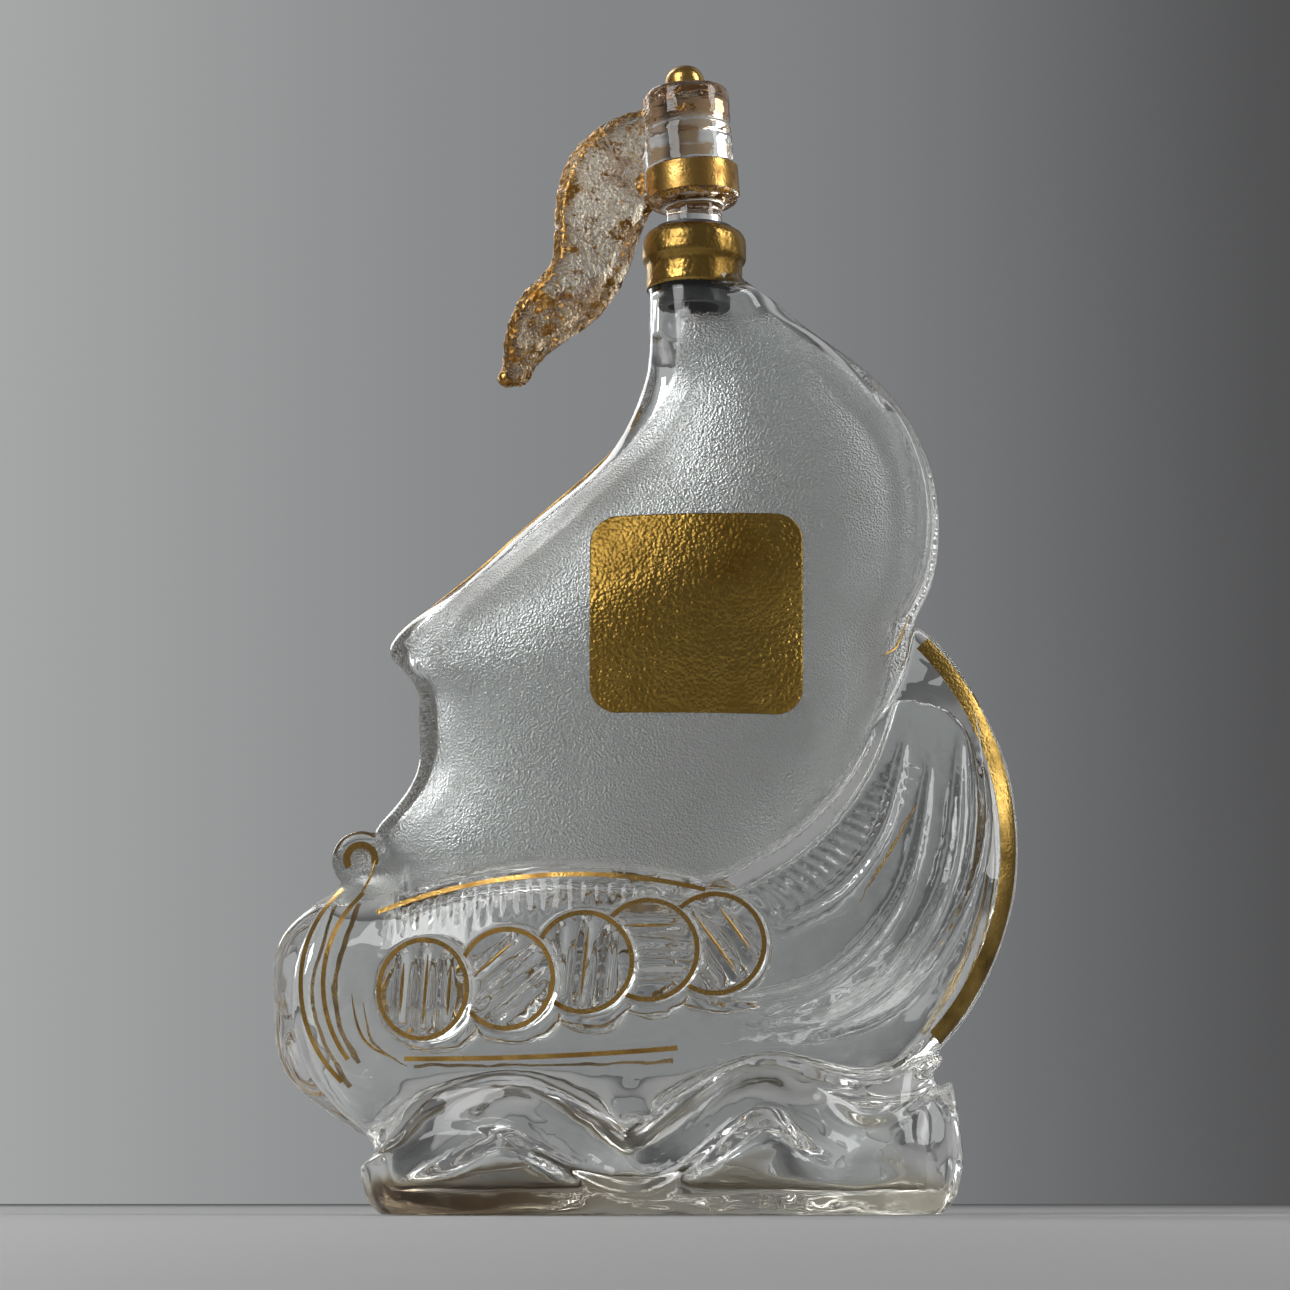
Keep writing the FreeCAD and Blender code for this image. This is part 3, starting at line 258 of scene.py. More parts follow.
goldLook = dict(
    bright=(0.68, 0.43, 0.13, 1.0), dull=(0.30, 0.16, 0.04, 1.0), patchSize=140.0, speckSize=900.0,
    worn=False, pebbleSize=1500.0, creaseSize=120.0, crease=0.3, bump=0.15, depth=0.0003,
)
# a darker copy of the gilt for the sternpost: painted shade, for its edge seen through the glass against the
# dark side of the room
shadedSternLook = dict(
    bright=(0.40, 0.26, 0.07, 1.0), dull=(0.10, 0.06, 0.015, 1.0), patchSize=60.0, speckSize=900.0,
    worn=False, pebbleSize=1500.0, creaseSize=120.0, crease=0.4, bump=0.25, depth=0.0003,
)
foilLook = dict(
    bright=(0.48, 0.30, 0.08, 1.0), dull=(0.17, 0.10, 0.022, 1.0), patchSize=70.0, speckSize=900.0,
    worn=False, pebbleSize=900.0, creaseSize=260.0, crease=0.6, bump=0.2, depth=0.0005,
)
labelLook = dict(
    bright=(0.50, 0.32, 0.075, 1.0), dull=(0.18, 0.10, 0.018, 1.0), patchSize=30.0, speckSize=900.0,
    worn=False, pebbleSize=1100.0, creaseSize=300.0, crease=0.5, bump=0.45, depth=0.0005,
)
washLook = dict(
    bright=(0.72, 0.43, 0.13, 1.0), dull=(0.28, 0.12, 0.02, 1.0), patchSize=300.0, speckSize=1300.0,
    worn=True, pebbleSize=900.0, creaseSize=260.0, crease=0.8, bump=0.5, depth=0.0005,
)
bottleGlass = makeGlass("mouldedGlass", bottleLook)
stopperGlass = makeGlass("hammeredGlass", stopperLook)
gilt = makeGold("burnishedGilt", goldLook)
shadedSternGilt = makeGold("paintedShadeGilt", shadedSternLook)
neckFoil = makeGold("crinkledFoil", foilLook)
labelFoil = makeGold("pressedFoil", labelLook)
goldWash = makeGold("rubbedGoldWash", washLook)


sleeveLook = dict(
    dark=(0.045, 0.045, 0.048, 1.0), light=(0.085, 0.085, 0.09, 1.0), roughness=0.42, pebbleSize=1100.0,
    swellSize=200.0, swell=0.3, bump=0.15, depth=0.0002,
)


def makeSleevePlastic(look):
    material, tree, shader = startMaterial("sleevePlastic")
    coords = objectCoords(tree)
    grain = placeGroup(tree, pebbleGrain, coords, **{
        "Pebble Size": look["pebbleSize"], "Swell Size": look["swellSize"], "Swell": look["swell"]})
    colour = addNode(tree, "ShaderNodeMix", data_type="RGBA")
    colour.inputs["A"].default_value = look["dark"]
    colour.inputs["B"].default_value = look["light"]
    wire(tree, grain.outputs["Patches"], colour.inputs["Factor"])
    wire(tree, colour.outputs["Result"], shader.inputs["Base Color"])
    shader.inputs["Roughness"].default_value = look["roughness"]
    bump = setInputs(addNode(tree, "ShaderNodeBump"), Strength=look["bump"], Distance=look["depth"])
    wire(tree, grain.outputs["Height"], bump.inputs["Height"])
    wire(tree, bump.outputs["Normal"], shader.inputs["Normal"])
    return material


def dress(nodeName, material):
    mesh = nodes[nodeName].data
    mesh.materials.clear()
    mesh.materials.append(material)


dress("stopper_sleeve", makeSleevePlastic(sleeveLook))
for nodeName in nodes:
    # the sternpost's gilt takes the darker copy of the gilt, which is painted shade
    if nodeName.startswith("gilt_sternpost"):
        dress(nodeName, shadedSternGilt)
    elif nodeName.startswith("gilt_") or nodeName in ("masthead_knob", "skirt_band"):
        dress(nodeName, gilt)
print("materials made")


# moulded relief is laid on the blank and melted into it
def meshOf(maker):
    bm = bmesh.new()
    maker(bm)
    mesh = bpy.data.meshes.new("part")
    bm.to_mesh(mesh)
    bm.free()
    return mesh


def mergedCopy(nodeName):
    bm = bmesh.new()
    bm.from_mesh(nodes[nodeName].data)
    bmesh.ops.remove_doubles(bm, verts=bm.verts, dist=0.004 * mm)
    return bm


def tubes(runs, resolution=2):
    # each run is a list of (place, radius) in metres
    curve = bpy.data.curves.new("run", "CURVE")
    curve.dimensions = "3D"
    curve.bevel_depth = 1.0
    curve.bevel_resolution = resolution
    curve.use_fill_caps = True
    for run in runs:
        spline = curve.splines.new("NURBS")
        spline.points.add(len(run) - 1)
        for point, (place, radius) in zip(spline.points, run):
            point.co = (*place, 1.0)
            point.radius = radius
        spline.order_u = 3
        spline.use_endpoint_u = True
        spline.resolution_u = 5
    carrier = bpy.data.objects.new("run", curve)
    mesh = bpy.data.meshes.new_from_object(carrier)
    bpy.data.objects.remove(carrier)
    bpy.data.curves.remove(curve)
    return mesh


def melt(bm, voxel, rounds, mostTriangles):
    mesh = bpy.data.meshes.new("blank")
    bm.to_mesh(mesh)
    bm.free()
    carrier = bpy.data.objects.new("blank", mesh)
    scene.collection.objects.link(carrier)
    fuse = carrier.modifiers.new("fuse", "REMESH")
    fuse.mode = "VOXEL"
    fuse.voxel_size = voxel
    fuse.use_smooth_shade = True
    soften = carrier.modifiers.new("soften", "SMOOTH")
    soften.factor = 0.5
    soften.iterations = rounds
    result = bpy.data.meshes.new_from_object(carrier.evaluated_get(bpy.context.evaluated_depsgraph_get()))
    triangles = sum(len(polygon.vertices) - 2 for polygon in result.polygons)
    if triangles > mostTriangles:
        thin = carrier.modifiers.new("thin", "DECIMATE")
        thin.ratio = mostTriangles / triangles
        bpy.data.meshes.remove(result)
        result = bpy.data.meshes.new_from_object(carrier.evaluated_get(bpy.context.evaluated_depsgraph_get()))
    bpy.data.objects.remove(carrier)
    print("melted", triangles, "triangles to", len(result.polygons), "faces")
    return result


def softened(mesh, name, shares, rounds):
    # smooths the points that have a share, as much as it says
    carrier = bpy.data.objects.new(name, mesh)
    scene.collection.objects.link(carrier)
    group = carrier.vertex_groups.new(name=name)
    for index, share in enumerate(shares):
        if share > 0.0:
            group.add([index], share, "REPLACE")
    soften = carrier.modifiers.new(name, "SMOOTH")
    soften.factor = 0.5
    soften.iterations = rounds
    soften.vertex_group = name
    result = bpy.data.meshes.new_from_object(carrier.evaluated_get(bpy.context.evaluated_depsgraph_get()))
    bpy.data.objects.remove(carrier)
    bpy.data.meshes.remove(mesh)
    return result


def finishPiece(name, mesh, body, material):
    mesh.name = name
    mesh.materials.clear()
    mesh.materials.append(material)
    for polygon in mesh.polygons:
        polygon.use_smooth = True
    piece = bpy.data.objects.new(name, mesh)
    scene.collection.objects.link(piece)
    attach(piece, body)
    return piece


def storeShare(mesh, name, values):
    layer = mesh.attributes.new(name, "FLOAT", "POINT")
    layer.data.foreach_set("value", values)


def onSide(surface, x, z, lift=0.0, side=-1.0):
    # a place on one face of a piece, from millimetres along and up; side -1 is port
    start = Vector((x * mm, side * 80.0 * mm, z * mm))
    place, normal, index, distance = surface.ray_cast(start, Vector((0.0, -side, 0.0)))
    if place is None:
        return Vector((x * mm, 0.0, z * mm))
    return place + normal * lift * mm


def dentAt(place, sizes, fineShare):
    # two sizes of dent on top of each other
    coarse, fine = sizes
    return noise.noise(place * coarse) + fineShare * noise.noise(place * fine)


def mirroredRuns(runs):
    return runs + [[(Vector((p.x, -p.y, p.z)), r) for p, r in run] for run in runs]


def sideRun(surface, points, radius, taper=0.3, lift=0.0, side=-1.0):
    # a run along one face whose ends taper off
    last = len(points) - 1
    run = []
    for index, (x, z) in enumerate(points):
        end = index in (0, last)
        run.append((onSide(surface, x, z, lift, side), radius * (taper if end else 1.0) * mm))
    return run


gunwale = dict(crown=(-36.0, 86.0), bow=0.00465, stern=0.00277)


def gunwaleZ(x):
    run = x - gunwale["crown"][0]
    return gunwale["crown"][1] - (gunwale["bow"] if run < 0 else gunwale["stern"]) * run * run


gunwaleRibs = dict(first=-77.0, pitch=3.3, count=22, under=4.0, lowBow=66.5, lowStern=77.0, radius=1.05)
sternRibs = dict(centre=(-20.0, 150.0), reaches=(78.0, 81.0, 86.0), start=-65.0, end=-29.0, count=17, hook=2.4,
                 radius=1.5, thinning=0.75)
strakes = dict(radius=1.7, lines=[
    [(1.0, 52.0), (16.0, 52.0), (33.0, 57.0), (48.0, 72.0), (57.0, 92.0), (60.0, 116.0)],
    [(10.0, 46.0), (28.0, 46.0), (46.0, 55.0), (60.0, 74.0), (67.0, 96.0), (68.0, 122.0)],
    [(24.0, 43.0), (44.0, 47.0), (60.0, 62.0), (71.0, 84.0), (74.5, 106.0), (71.0, 132.0)],
    [(18.0, 71.0), (30.0, 76.0), (42.0, 87.0), (50.0, 102.0), (54.0, 122.0)],
])
swell = dict(rounds=50, foot=3.0, footFade=5.0, top=37.0, topFade=8.0, lines=[
    (9.0, -7.4, [(-80.0, 10.0), (-70.0, 18.0), (-58.0, 25.0), (-47.0, 28.0), (-36.0, 22.0), (-24.0, 14.0),
                 (-10.0, 9.0)]),
    (9.0, -7.4, [(-20.0, 10.0), (-8.0, 15.0), (3.0, 24.0), (14.0, 32.0), (25.0, 30.0), (36.0, 24.0),
                 (50.0, 20.0)]),
    (7.0, -5.8, [(0.0, 8.0), (18.0, 12.0), (34.0, 13.0), (48.0, 10.0), (60.0, 7.0)]),
    (2.6, -1.2, [(42.0, 29.0), (52.0, 33.0), (59.0, 36.5), (62.0, 39.0)]),
])
leechRim = dict(radius=2.4, lift=-0.9, inside=4.2, low=152.0, high=214.0, steps=9)


def bottleRelief():
    runs = []
    for index in range(gunwaleRibs["count"]):
        x = gunwaleRibs["first"] + index * gunwaleRibs["pitch"]
        share = index / (gunwaleRibs["count"] - 1)
        low = between(gunwaleRibs["lowBow"], gunwaleRibs["lowStern"], math.sqrt(share))
        high = gunwaleZ(x) - gunwaleRibs["under"]
        points = [(x, low), (x, between(low, high, 0.5)), (x, high)]
        runs.append(sideRun(blankSides, points, gunwaleRibs["radius"]))
    centreX, centreZ = sternRibs["centre"]
    for index in range(sternRibs["count"]):
        share = index / (sternRibs["count"] - 1)
        points = []
        for step, reach in enumerate(sternRibs["reaches"]):
            turn = between(sternRibs["start"], sternRibs["end"], share) + sternRibs["hook"] * step / 2
            turn = math.radians(turn)
            points.append((centreX + reach * math.cos(turn), centreZ + reach * math.sin(turn)))
        radius = sternRibs["radius"] * between(1.0, sternRibs["thinning"], share)
        runs.append(sideRun(blankSides, points, radius, taper=0.45))
    for line in strakes["lines"]:
        runs.append(sideRun(blankSides, line, strakes["radius"], taper=0.2))
    for radius, lift, line in swell["lines"]:
        runs.append(sideRun(blankSides, line, radius, taper=0.45, lift=lift))
    rim = []
    for step in range(leechRim["steps"]):
        z = between(leechRim["low"], leechRim["high"], step / (leechRim["steps"] - 1))
        rim.append((leechX(z) - leechRim["inside"], z))
    runs.append(sideRun(blankSides, rim, leechRim["radius"], taper=0.5, lift=leechRim["lift"]))
    return tubes(mirroredRuns(runs), resolution=4)


sail = dict(
    neckRadius=12.0, neckTop=245.0, luffAngle=41.0, luffSweep=50.0, corner=(-80.6, 145.0),
    hollowEdge=(-103.0, 122.15, 32.0), shoulderAngle=37.5, leech=(10.8, 177.8, 53.0),
    foot=(-20.0, 150.0, 76.0), clearRim=4.5, neckRim=7.5, neckRimLow=195.0,
    neckRimRise=20.0, frostFoot=71.0, frostLow=78.0, frostTop=232.0, frostGap=0.5, blend=2.5,
)


def luffX(z):
    # front edge of the sail
    corner = sail["corner"]
    if z < corner[1]:
        centreX, centreZ, radius = sail["hollowEdge"]
        return centreX + math.sqrt(max(0.0, radius ** 2 - (z - centreZ) ** 2))
    slope = math.radians(sail["luffAngle"])
    meeting = corner[1] + (-sail["neckRadius"] - corner[0]) * math.tan(slope)
    run = sail["luffSweep"] * math.tan((math.pi / 2 - slope) / 2)
    if z < meeting - run * math.sin(slope):
        return corner[0] + (z - corner[1]) / math.tan(slope)
    if z < meeting + run:
        reach = math.sqrt(max(0.0, sail["luffSweep"] ** 2 - (z - meeting - run) ** 2))
        return -sail["neckRadius"] - sail["luffSweep"] + reach
    return -sail["neckRadius"]


def leechX(z):
    # rear edge of the sail
    if z < sail["foot"][1]:
        return sail["foot"][0] + math.sqrt(max(0.0, sail["foot"][2] ** 2 - (z - sail["foot"][1]) ** 2))
    slope = math.radians(sail["shoulderAngle"])
    centreX, centreZ, radius = sail["leech"]
    turnX = centreX + radius * math.sin(slope)
    turnZ = centreZ + radius * math.cos(slope)
    if z < turnZ:
        return centreX + math.sqrt(max(0.0, radius ** 2 - (z - centreZ) ** 2))
    return max(sail["neckRadius"], turnX - (z - turnZ) / math.tan(slope))


def frostAt(place, normal):
    # the etched field of the sail, on its two outer faces
    x, y, z = place / mm
    if z < sail["frostLow"] or z > sail["neckTop"] or normal.y * y < 0.0:
        return 0.0
    blend = sail["blend"]
    rim = between(sail["clearRim"], sail["neckRim"], ease((z - sail["neckRimLow"]) / sail["neckRimRise"]))
    share = ease((min(x - luffX(z), leechX(z) - x) - rim) / blend)
    share *= ease((z - gunwaleZ(x) - sail["frostGap"]) / blend)
    share *= ease((sail["frostTop"] - z) / (2.0 * blend))
    if x > sail["foot"][0] and z < sail["foot"][1]:
        reach = math.hypot(x - sail["foot"][0], z - sail["foot"][1])
        share *= ease((sail["frostFoot"] - reach) / blend)
    return share


def waveAt(place):
    # the waves flow into one another
    z = place.z / mm
    return ease((z - swell["foot"]) / swell["footFade"]) * ease((swell["top"] - z) / swell["topFade"])


residue = dict(height=11.0, wander=4.0, fade=6.0, size=0.05, seed=3.0, thin=0.45, thick=0.95, thickFrom=-5.0,
               thickRun=45.0)


def stainAt(place):
    # a dried trace of liquor along the foot of the glass, thickest towards the bow
    x, y, z = place / mm
    trace = noise.noise(Vector((x * residue["size"], y * residue["size"], residue["seed"])))
    film = ease((residue["height"] + residue["wander"] * trace - z) / residue["fade"])
    thickness = ease((residue["thickFrom"] - x) / residue["thickRun"])
    return film * between(residue["thin"], residue["thick"], thickness)


bottleBlank = mergedCopy("glass_bottle")
blankSides = BVHTree.FromBMesh(bottleBlank)
bottleBlank.from_mesh(bottleRelief())
bottleMesh = melt(bottleBlank, 0.8 * mm, 2, 196000)
bottleMesh = softened(bottleMesh, "waves", [waveAt(v.co) for v in bottleMesh.vertices], swell["rounds"])
storeShare(bottleMesh, "frost", [frostAt(v.co, v.normal) for v in bottleMesh.vertices])
storeShare(bottleMesh, "stain", [stainAt(v.co) for v in bottleMesh.vertices])
bottle = finishPiece("bottleGlass", bottleMesh, "bottle", bottleGlass)
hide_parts("glass_bottle")
print("bottle made")

# gold lines too fine for the solids: the crook of the bow, the edge of the sail, the stern, the shields' bars
corners = [vertex.co for vertex in bottleMesh.vertices]
bottleSides = BVHTree.FromPolygons(corners, [polygon.vertices for polygon in bottleMesh.polygons])
goldLines = dict(
    radius=0.42, lift=-0.12,
    both=[
        [(-81.6, 90.0), (-82.6, 85.0), (-85.5, 79.3), (-89.6, 73.1)],
        [(-86.5, 54.6), (-85.6, 47.0), (-81.5, 40.5), (-75.0, 38.3)],
        [(55.0, 152.0), (52.6, 146.0), (51.0, 142.6), (47.0, 141.0)],
        [(56.0, 103.0), (50.0, 92.0), (43.0, 81.0)],
    ],
    edgeLow=147.0, edgeHigh=196.0, edgeInside=1.8, edgeSteps=9,
    stripes=(0.18, 0.36, 0.54, 0.72), stripeLow=92.0, stripeHigh=214.0, stripeRadius=0.45, stripeSteps=13,
)
shieldBars = dict(half=8.6, lift=-0.05, bars=[
    (-67.4, 55.2, 4.0, (-6.0, 0.0, 6.0)), (-46.8, 57.6, 50.0, (-6.0,)), (-27.8, 61.6, 6.0, (0.0,)),
    (-12.0, 64.5, 90.0, (-6.0,)), (4.3, 66.2, -36.0, (0.0, 6.0)),
])


def goldRuns():
    radius = goldLines["radius"]
    runs = [sideRun(bottleSides, line, radius, lift=goldLines["lift"]) for line in goldLines["both"]]
    edge = []
    for step in range(goldLines["edgeSteps"]):
        z = between(goldLines["edgeLow"], goldLines["edgeHigh"], step / (goldLines["edgeSteps"] - 1))
        edge.append((luffX(z) + goldLines["edgeInside"], z))
    runs.append(sideRun(bottleSides, edge, radius, lift=goldLines["lift"]))
    for x, z, lean, offsets in shieldBars["bars"]:
        alongX = math.sin(math.radians(lean))
        alongZ = math.cos(math.radians(lean))
        for offset in offsets:
            half = math.sqrt(shieldBars["half"] ** 2 - offset ** 2)
            points = []
            for share in (-1.0, -0.5, 0.0, 0.5, 1.0):
                placeX = x + offset * alongZ + share * half * alongX
                placeZ = z - offset * alongX + share * half * alongZ
                points.append((placeX, placeZ))
            runs.append(sideRun(bottleSides, points, radius, lift=shieldBars["lift"]))
    runs = mirroredRuns(runs)
    # stripes of the sail, on the far side only
    for share in goldLines["stripes"]:
        points = []
        for step in range(goldLines["stripeSteps"]):
            z = between(goldLines["stripeLow"], goldLines["stripeHigh"], step / (goldLines["stripeSteps"] - 1))
            points.append((between(luffX(z), leechX(z), share), z))
        radius = goldLines["stripeRadius"]
        runs.append(sideRun(bottleSides, points, radius, lift=goldLines["lift"], side=1.0))
    return runs


finishPiece("goldLines", tubes(goldRuns(), resolution=1), "bottle", gilt)
print("gold lines made")

# foil of the neck, crinkled where it was pressed on
foil = dict(
    profile=[(12.55, 240.1), (12.6, 241.2), (12.55, 242.6), (12.55, 244.2), (12.55, 245.6), (12.6, 246.6),
             (12.9, 247.3), (13.4, 247.7), (13.7, 248.4), (13.75, 249.6), (13.75, 251.0), (13.72, 252.2),
             (13.55, 253.4), (13.1, 254.5), (12.4, 255.4), (11.5, 256.0), (10.7, 256.2)],
    steps=144, thick=0.12, crease=0.18, creaseSizes=(260.0, 620.0),
)


def foilShape(bm):
    corners = [bm.verts.new((radius * mm, 0.0, z * mm)) for radius, z in foil["profile"]]
    edges = [bm.edges.new(pair) for pair in zip(corners, corners[1:])]
    bmesh.ops.spin(bm, geom=corners + edges, axis=(0.0, 0.0, 1.0), cent=(0.0, 0.0, 0.0), angle=math.tau,
                   steps=foil["steps"], use_merge=True)
    bmesh.ops.recalc_face_normals(bm, faces=bm.faces)
    for vertex in bm.verts:
        out = Vector((vertex.co.x, vertex.co.y, 0.0)).normalized()
        dent = dentAt(vertex.co, foil["creaseSizes"], 0.6)
        vertex.co += out * dent * foil["crease"] * mm
    bmesh.ops.solidify(bm, geom=bm.faces, thickness=foil["thick"] * mm)
    bmesh.ops.recalc_face_normals(bm, faces=bm.faces)


foilPiece = finishPiece("neckFoil", meshOf(foilShape), "bottle", neckFoil)
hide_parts("neck_foil")

# label: a pressed sheet with rounded corners, left blank
label = dict(
    width=54.0, height=51.0, round=7.0, z=150.0, acrossSteps=150, upSteps=142, thick=0.12, emboss=0.085,
    pebbleSizes=(760.0, 1748.0), sink=0.04, trim=0.998,
)
labelBlank = mergedCopy("label")
labelSides = BVHTree.FromBMesh(labelBlank)
labelBlank.free()


def labelShape(bm):
    bmesh.ops.create_grid(bm, x_segments=label["acrossSteps"], y_segments=label["upSteps"], size=0.5)
    radius = label["round"]
    for vertex in bm.verts:
        x = vertex.co.x * label["width"]
        z = vertex.co.y * label["height"]
        overX = abs(x) - (label["width"] / 2 - radius)
        overZ = abs(z) - (label["height"] / 2 - radius)
        if overX > 0.0 and overZ > 0.0:
            # the square corner of the grid is drawn in to a quarter circle
            x -= math.copysign(overX * (1.0 - math.sqrt(1.0 - overZ ** 2 / (2.0 * radius ** 2))), x)
            z -= math.copysign(overZ * (1.0 - math.sqrt(1.0 - overX ** 2 / (2.0 * radius ** 2))), z)
        place = onSide(labelSides, x * label["trim"], label["z"] + z * label["trim"], lift=-label["sink"])
        press = dentAt(place, label["pebbleSizes"], 0.5)
        vertex.co = place + Vector((0.0, -press * label["emboss"] * mm, 0.0))
    bmesh.ops.recalc_face_normals(bm, faces=bm.faces)
    bmesh.ops.solidify(bm, geom=bm.faces, thickness=label["thick"] * mm)
    bmesh.ops.recalc_face_normals(bm, faces=bm.faces)


labelPiece = finishPiece("labelFoil", meshOf(labelShape), "bottle", labelFoil)
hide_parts("label")
print("foil and label made")

# stopper: the hammered skin of the pennant is real relief
hammer = dict(sizes=(560.0, 1176.0), depth=0.26, drumLeft=-11.0, blend=4.0)
pennant = dict(
    outer=[(-5.2, 290.5), (-16.6, 289.7), (-26.5, 285.0), (-34.3, 274.6), (-36.9, 260.1), (-37.7, 248.1),
           (-42.6, 241.9), (-48.4, 233.2), (-50.4, 223.6), (-52.0, 216.9)],
    inner=[(-5.2, 266.3), (-11.4, 262.0), (-14.6, 257.7), (-17.2, 251.5), (-19.8, 245.2), (-22.9, 239.0),
           (-29.6, 230.8), (-36.4, 226.5), (-41.6, 219.8), (-46.8, 215.0)],
    tip=(-49.3, 2.6, 217.2), tipRadius=2.45, rollRadius=2.3, rollY=-1.2, edge=4.6, crownZ=284.5, skirtZ=264.0,
    patch=(-6.5, 1.5, 276.5, 282.2), amberTop=246.0,
)
# how much gold and how much brown stain lies on each part
rubbing = dict(
    dabSizes=(95.0, 240.0), specks=(0.30, 0.10), edge=(0.54, 0.90), amber=(0.40, 0.50), dabs=(0.52, 0.45),
    crown=(0.26, 0.85), foot=(0.50, 0.80), patch=(0.12, 0.95),
)


def lineDistance(x, z, line):
    # distance in millimetres from a line of points
    nearest = 1000.0
    for (x0, z0), (x1, z1) in zip(line, line[1:]):
        run = (x1 - x0) ** 2 + (z1 - z0) ** 2
        share = min(1.0, max(0.0, ((x - x0) * (x1 - x0) + (z - z0) * (z1 - z0)) / run))
        nearest = min(nearest, math.hypot(x - between(x0, x1, share), z - between(z0, z1, share)))
    return nearest


def most(**shares):
    # the strongest gold and the strongest brown of the named parts
    gold = max(rubbing[name][0] * share for name, share in shares.items())
    brown = max(rubbing[name][1] * share for name, share in shares.items())
    return gold, brown


def washAt(place, onPennant):
    # gold rubbed along the pennant's edges and in dabs, over a brown stain that also bands the drum
    x, y, z = place / mm
    dab = dentAt(place, rubbing["dabSizes"], 0.5)
    if onPennant < 0.5:
        crown = ease((z - pennant["crownZ"] - 0.09 * x) / 1.5)
        foot = ease((pennant["skirtZ"] + 2.5 - z) / 1.5) * ease((math.hypot(x, y) - 8.0) / 1.0)
        left, right, low, high = pennant["patch"]
        patch = ease(x - left + dab) * ease(right - x + dab) * ease(z - low + dab) * ease(high - z + dab)
        return most(crown=crown, foot=foot, patch=patch)
    edge = max(ease((pennant["edge"] + 3.0 * dab - lineDistance(x, z, pennant["outer"])) / 2.5),
               0.8 * ease((pennant["edge"] - 2.0 + 3.0 * dab - lineDistance(x, z, pennant["inner"])) / 2.5))
    amber = ease((pennant["amberTop"] - z + 10.0 * dab) / 14.0)
    dabs = ease((dab - 0.22) / 0.2)
    return most(specks=1.0, edge=edge, amber=amber, dabs=dabs)


def pennantRoll():
    # the lower edge is rolled, thinning towards its ends
    points = pennant["inner"][1:9]
    run = []
    for index, (x, z) in enumerate(points):
        share = math.sin(math.pi * (index + 0.4) / (len(points) - 0.2))
        run.append((Vector((x * mm, pennant["rollY"] * mm, z * mm)), pennant["rollRadius"] * share * mm))
    return tubes([run], resolution=3)


stopperBlank = mergedCopy("stopper_glass")
stopperBlank.from_mesh(pennantRoll())
bmesh.ops.create_icosphere(stopperBlank, subdivisions=3, radius=pennant["tipRadius"] * mm,
                           matrix=Matrix.Translation(Vector(pennant["tip"]) * mm))
stopperMesh = melt(stopperBlank, 0.55 * mm, 1, 110000)
pennantShares = [ease((hammer["drumLeft"] - v.co.x / mm) / hammer["blend"]) for v in stopperMesh.vertices]
for vertex, share in zip(stopperMesh.vertices, pennantShares):
    if share > 0.0:
        dent = dentAt(vertex.co, hammer["sizes"], 0.6)
        vertex.co += vertex.normal * dent * hammer["depth"] * share * mm
washes = [washAt(v.co, share) for v, share in zip(stopperMesh.vertices, pennantShares)]
washShares = [gold for gold, brown in washes]
storeShare(stopperMesh, "frost", pennantShares)
storeShare(stopperMesh, "stain", [brown for gold, brown in washes])
stopper = finishPiece("stopperGlass", stopperMesh, "stopper", stopperGlass)
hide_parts("stopper_glass")
print("stopper made")

# the wash itself, a thin skin of gold over that glass
washSkin = dict(least=0.2, lift=0.05, thick=0.05)


def washShape(bm):
    bm.from_mesh(stopperMesh)
    layer = bm.verts.layers.float.new("wash")
    bm.verts.ensure_lookup_table()
    for vertex, share in zip(bm.verts, washShares):
        vertex[layer] = share
    bare = [face for face in bm.faces if max(vertex[layer] for vertex in face.verts) < washSkin["least"]]
    bmesh.ops.delete(bm, geom=bare, context="FACES")
    bm.normal_update()
    for vertex in bm.verts:
        vertex.co += vertex.normal * (washSkin["lift"] + washSkin["thick"]) * mm
    bmesh.ops.solidify(bm, geom=bm.faces, thickness=washSkin["thick"] * mm)


finishPiece("stopperWash", meshOf(washShape), "stopper", goldWash)
print("gold wash made")

# stage
# the backdrop's steps of grey are painted light and shade across it
stageLook = dict(
    floor=(0.48, 0.48, 0.48, 1.0), size=4.0, sink=0.0002, back=1.8, backMiddle=1.0, halfWidth=1.5,
    sweep=[(0.25, (0.42, 0.43, 0.43, 1.0)), (0.50, (0.23, 0.235, 0.24, 1.0)), (0.70, (0.07, 0.07, 0.072, 1.0)),
           (0.92, (0.38, 0.38, 0.385, 1.0))],
)


def makeFloorMaterial():
    material, tree, shader = startMaterial("paleFloor")
    shader.inputs["Base Color"].default_value = stageLook["floor"]
    shader.inputs["Roughness"].default_value = 0.6
    return material


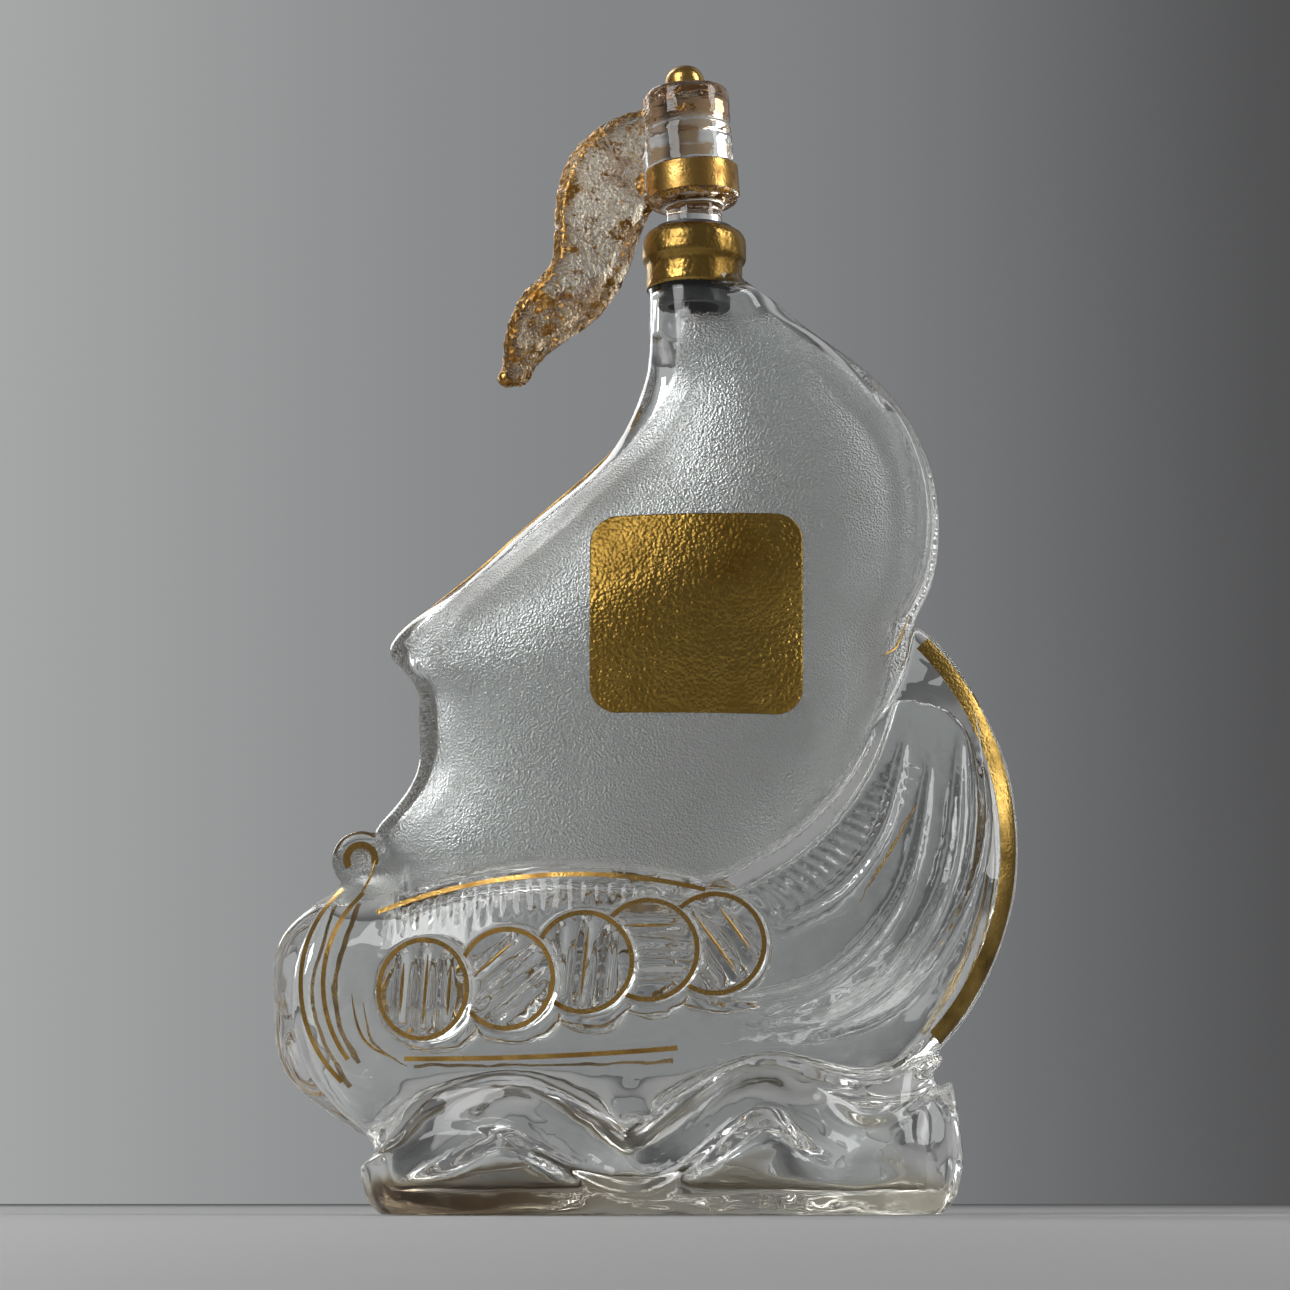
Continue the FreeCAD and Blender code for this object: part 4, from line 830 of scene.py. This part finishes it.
def makeBackdropMaterial():
    # a grey sweep with painted light: lit at the left, in deep shade right of centre, lit again far right; it
    # glows in these colours for camera, glossy and transmission rays, so glass and metal see it as the camera
    # does
    material, tree, shader = startMaterial("paintedLightBackdrop")
    coords = addNode(tree, "ShaderNodeSeparateXYZ")
    wire(tree, objectCoords(tree), coords.inputs[0])
    across = setInputs(addNode(tree, "ShaderNodeMapRange"),
                       **{"From Min": -stageLook["halfWidth"], "From Max": stageLook["halfWidth"]})
    wire(tree, coords.outputs["X"], across.inputs["Value"])
    colour = addNode(tree, "ShaderNodeValToRGB")
    colour.color_ramp.interpolation = "EASE"
    stops = colour.color_ramp.elements
    while len(stops) < len(stageLook["sweep"]):
        stops.new(0.5)
    for stop, (place, shade) in zip(stops, stageLook["sweep"]):
        stop.position = place
        stop.color = shade
    wire(tree, across.outputs[0], colour.inputs["Fac"])
    wire(tree, colour.outputs["Color"], shader.inputs["Base Color"])
    glow = addNode(tree, "ShaderNodeEmission")
    wire(tree, colour.outputs["Color"], glow.inputs["Color"])
    path = addNode(tree, "ShaderNodeLightPath")
    seen = addNode(tree, "ShaderNodeMath", operation="MAXIMUM")
    wire(tree, path.outputs["Is Camera Ray"], seen.inputs[0])
    wire(tree, path.outputs["Is Glossy Ray"], seen.inputs[1])
    through = addNode(tree, "ShaderNodeMath", operation="MAXIMUM")
    wire(tree, seen.outputs[0], through.inputs[0])
    wire(tree, path.outputs["Is Transmission Ray"], through.inputs[1])
    mix = addNode(tree, "ShaderNodeMixShader")
    wire(tree, through.outputs[0], mix.inputs[0])
    wire(tree, shader.outputs[0], mix.inputs[1])
    wire(tree, glow.outputs[0], mix.inputs[2])
    wire(tree, mix.outputs[0], tree.nodes["Material Output"].inputs["Surface"])
    return material


def plainSheet(bm):
    bmesh.ops.create_grid(bm, x_segments=1, y_segments=1, size=stageLook["size"])


def makeStage():
    floorMesh = meshOf(plainSheet)
    floor = bpy.data.objects.new("floor", floorMesh)
    floor.location = (0.0, 0.0, -stageLook["sink"])
    floorMesh.materials.append(makeFloorMaterial())
    backMesh = meshOf(plainSheet)
    back = bpy.data.objects.new("backdrop", backMesh)
    back.rotation_euler = (math.radians(90.0), 0.0, 0.0)
    back.location = (0.0, stageLook["back"], stageLook["backMiddle"])
    backMesh.materials.append(makeBackdropMaterial())
    for item in (floor, back):
        scene.collection.objects.link(item)


def addSoftbox(name, place, target, width, height, watts):
    data = bpy.data.lights.new(name, "AREA")
    data.shape = "RECTANGLE"
    data.size = width
    data.size_y = height
    data.energy = watts
    lamp = bpy.data.objects.new(name, data)
    lamp.location = place
    lamp.rotation_euler = (Vector(target) - Vector(place)).to_track_quat("-Z", "Y").to_euler()
    scene.collection.objects.link(lamp)


makeStage()
lights = dict(
    target=(-0.01, 0.0, 0.14), room=(0.55, 0.55, 0.56, 1.0), roomStrength=0.25,
    # name, place, width, height, watts
    softboxes=[
        ("keySoftbox", (-0.75, -0.75, 0.85), 0.6, 0.8, 8.0),
        ("sideStrip", (0.8, -0.25, 0.55), 0.25, 0.9, 4.0),
        ("backStrip", (-0.55, 0.7, 0.7), 0.3, 0.9, 3.5),
    ],
)
for name, place, width, height, watts in lights["softboxes"]:
    addSoftbox(name, place, lights["target"], width, height, watts)
world = bpy.data.worlds.new("studio")
world.use_nodes = True
setInputs(world.node_tree.nodes["Background"], Color=lights["room"], Strength=lights["roomStrength"])
scene.world = world

view = dict(place=(-0.013, -0.900, 0.004), pitch=8.95, lens=98.04)
camera = bpy.data.objects.new("camera", bpy.data.cameras.new("camera"))
camera.data.lens = view["lens"]
camera.data.sensor_width = 36.0
camera.data.clip_start = 0.01
camera.location = view["place"]
camera.rotation_euler = (math.radians(90.0 + view["pitch"]), 0.0, 0.0)
scene.collection.objects.link(camera)
scene.camera = camera
print("stage set")
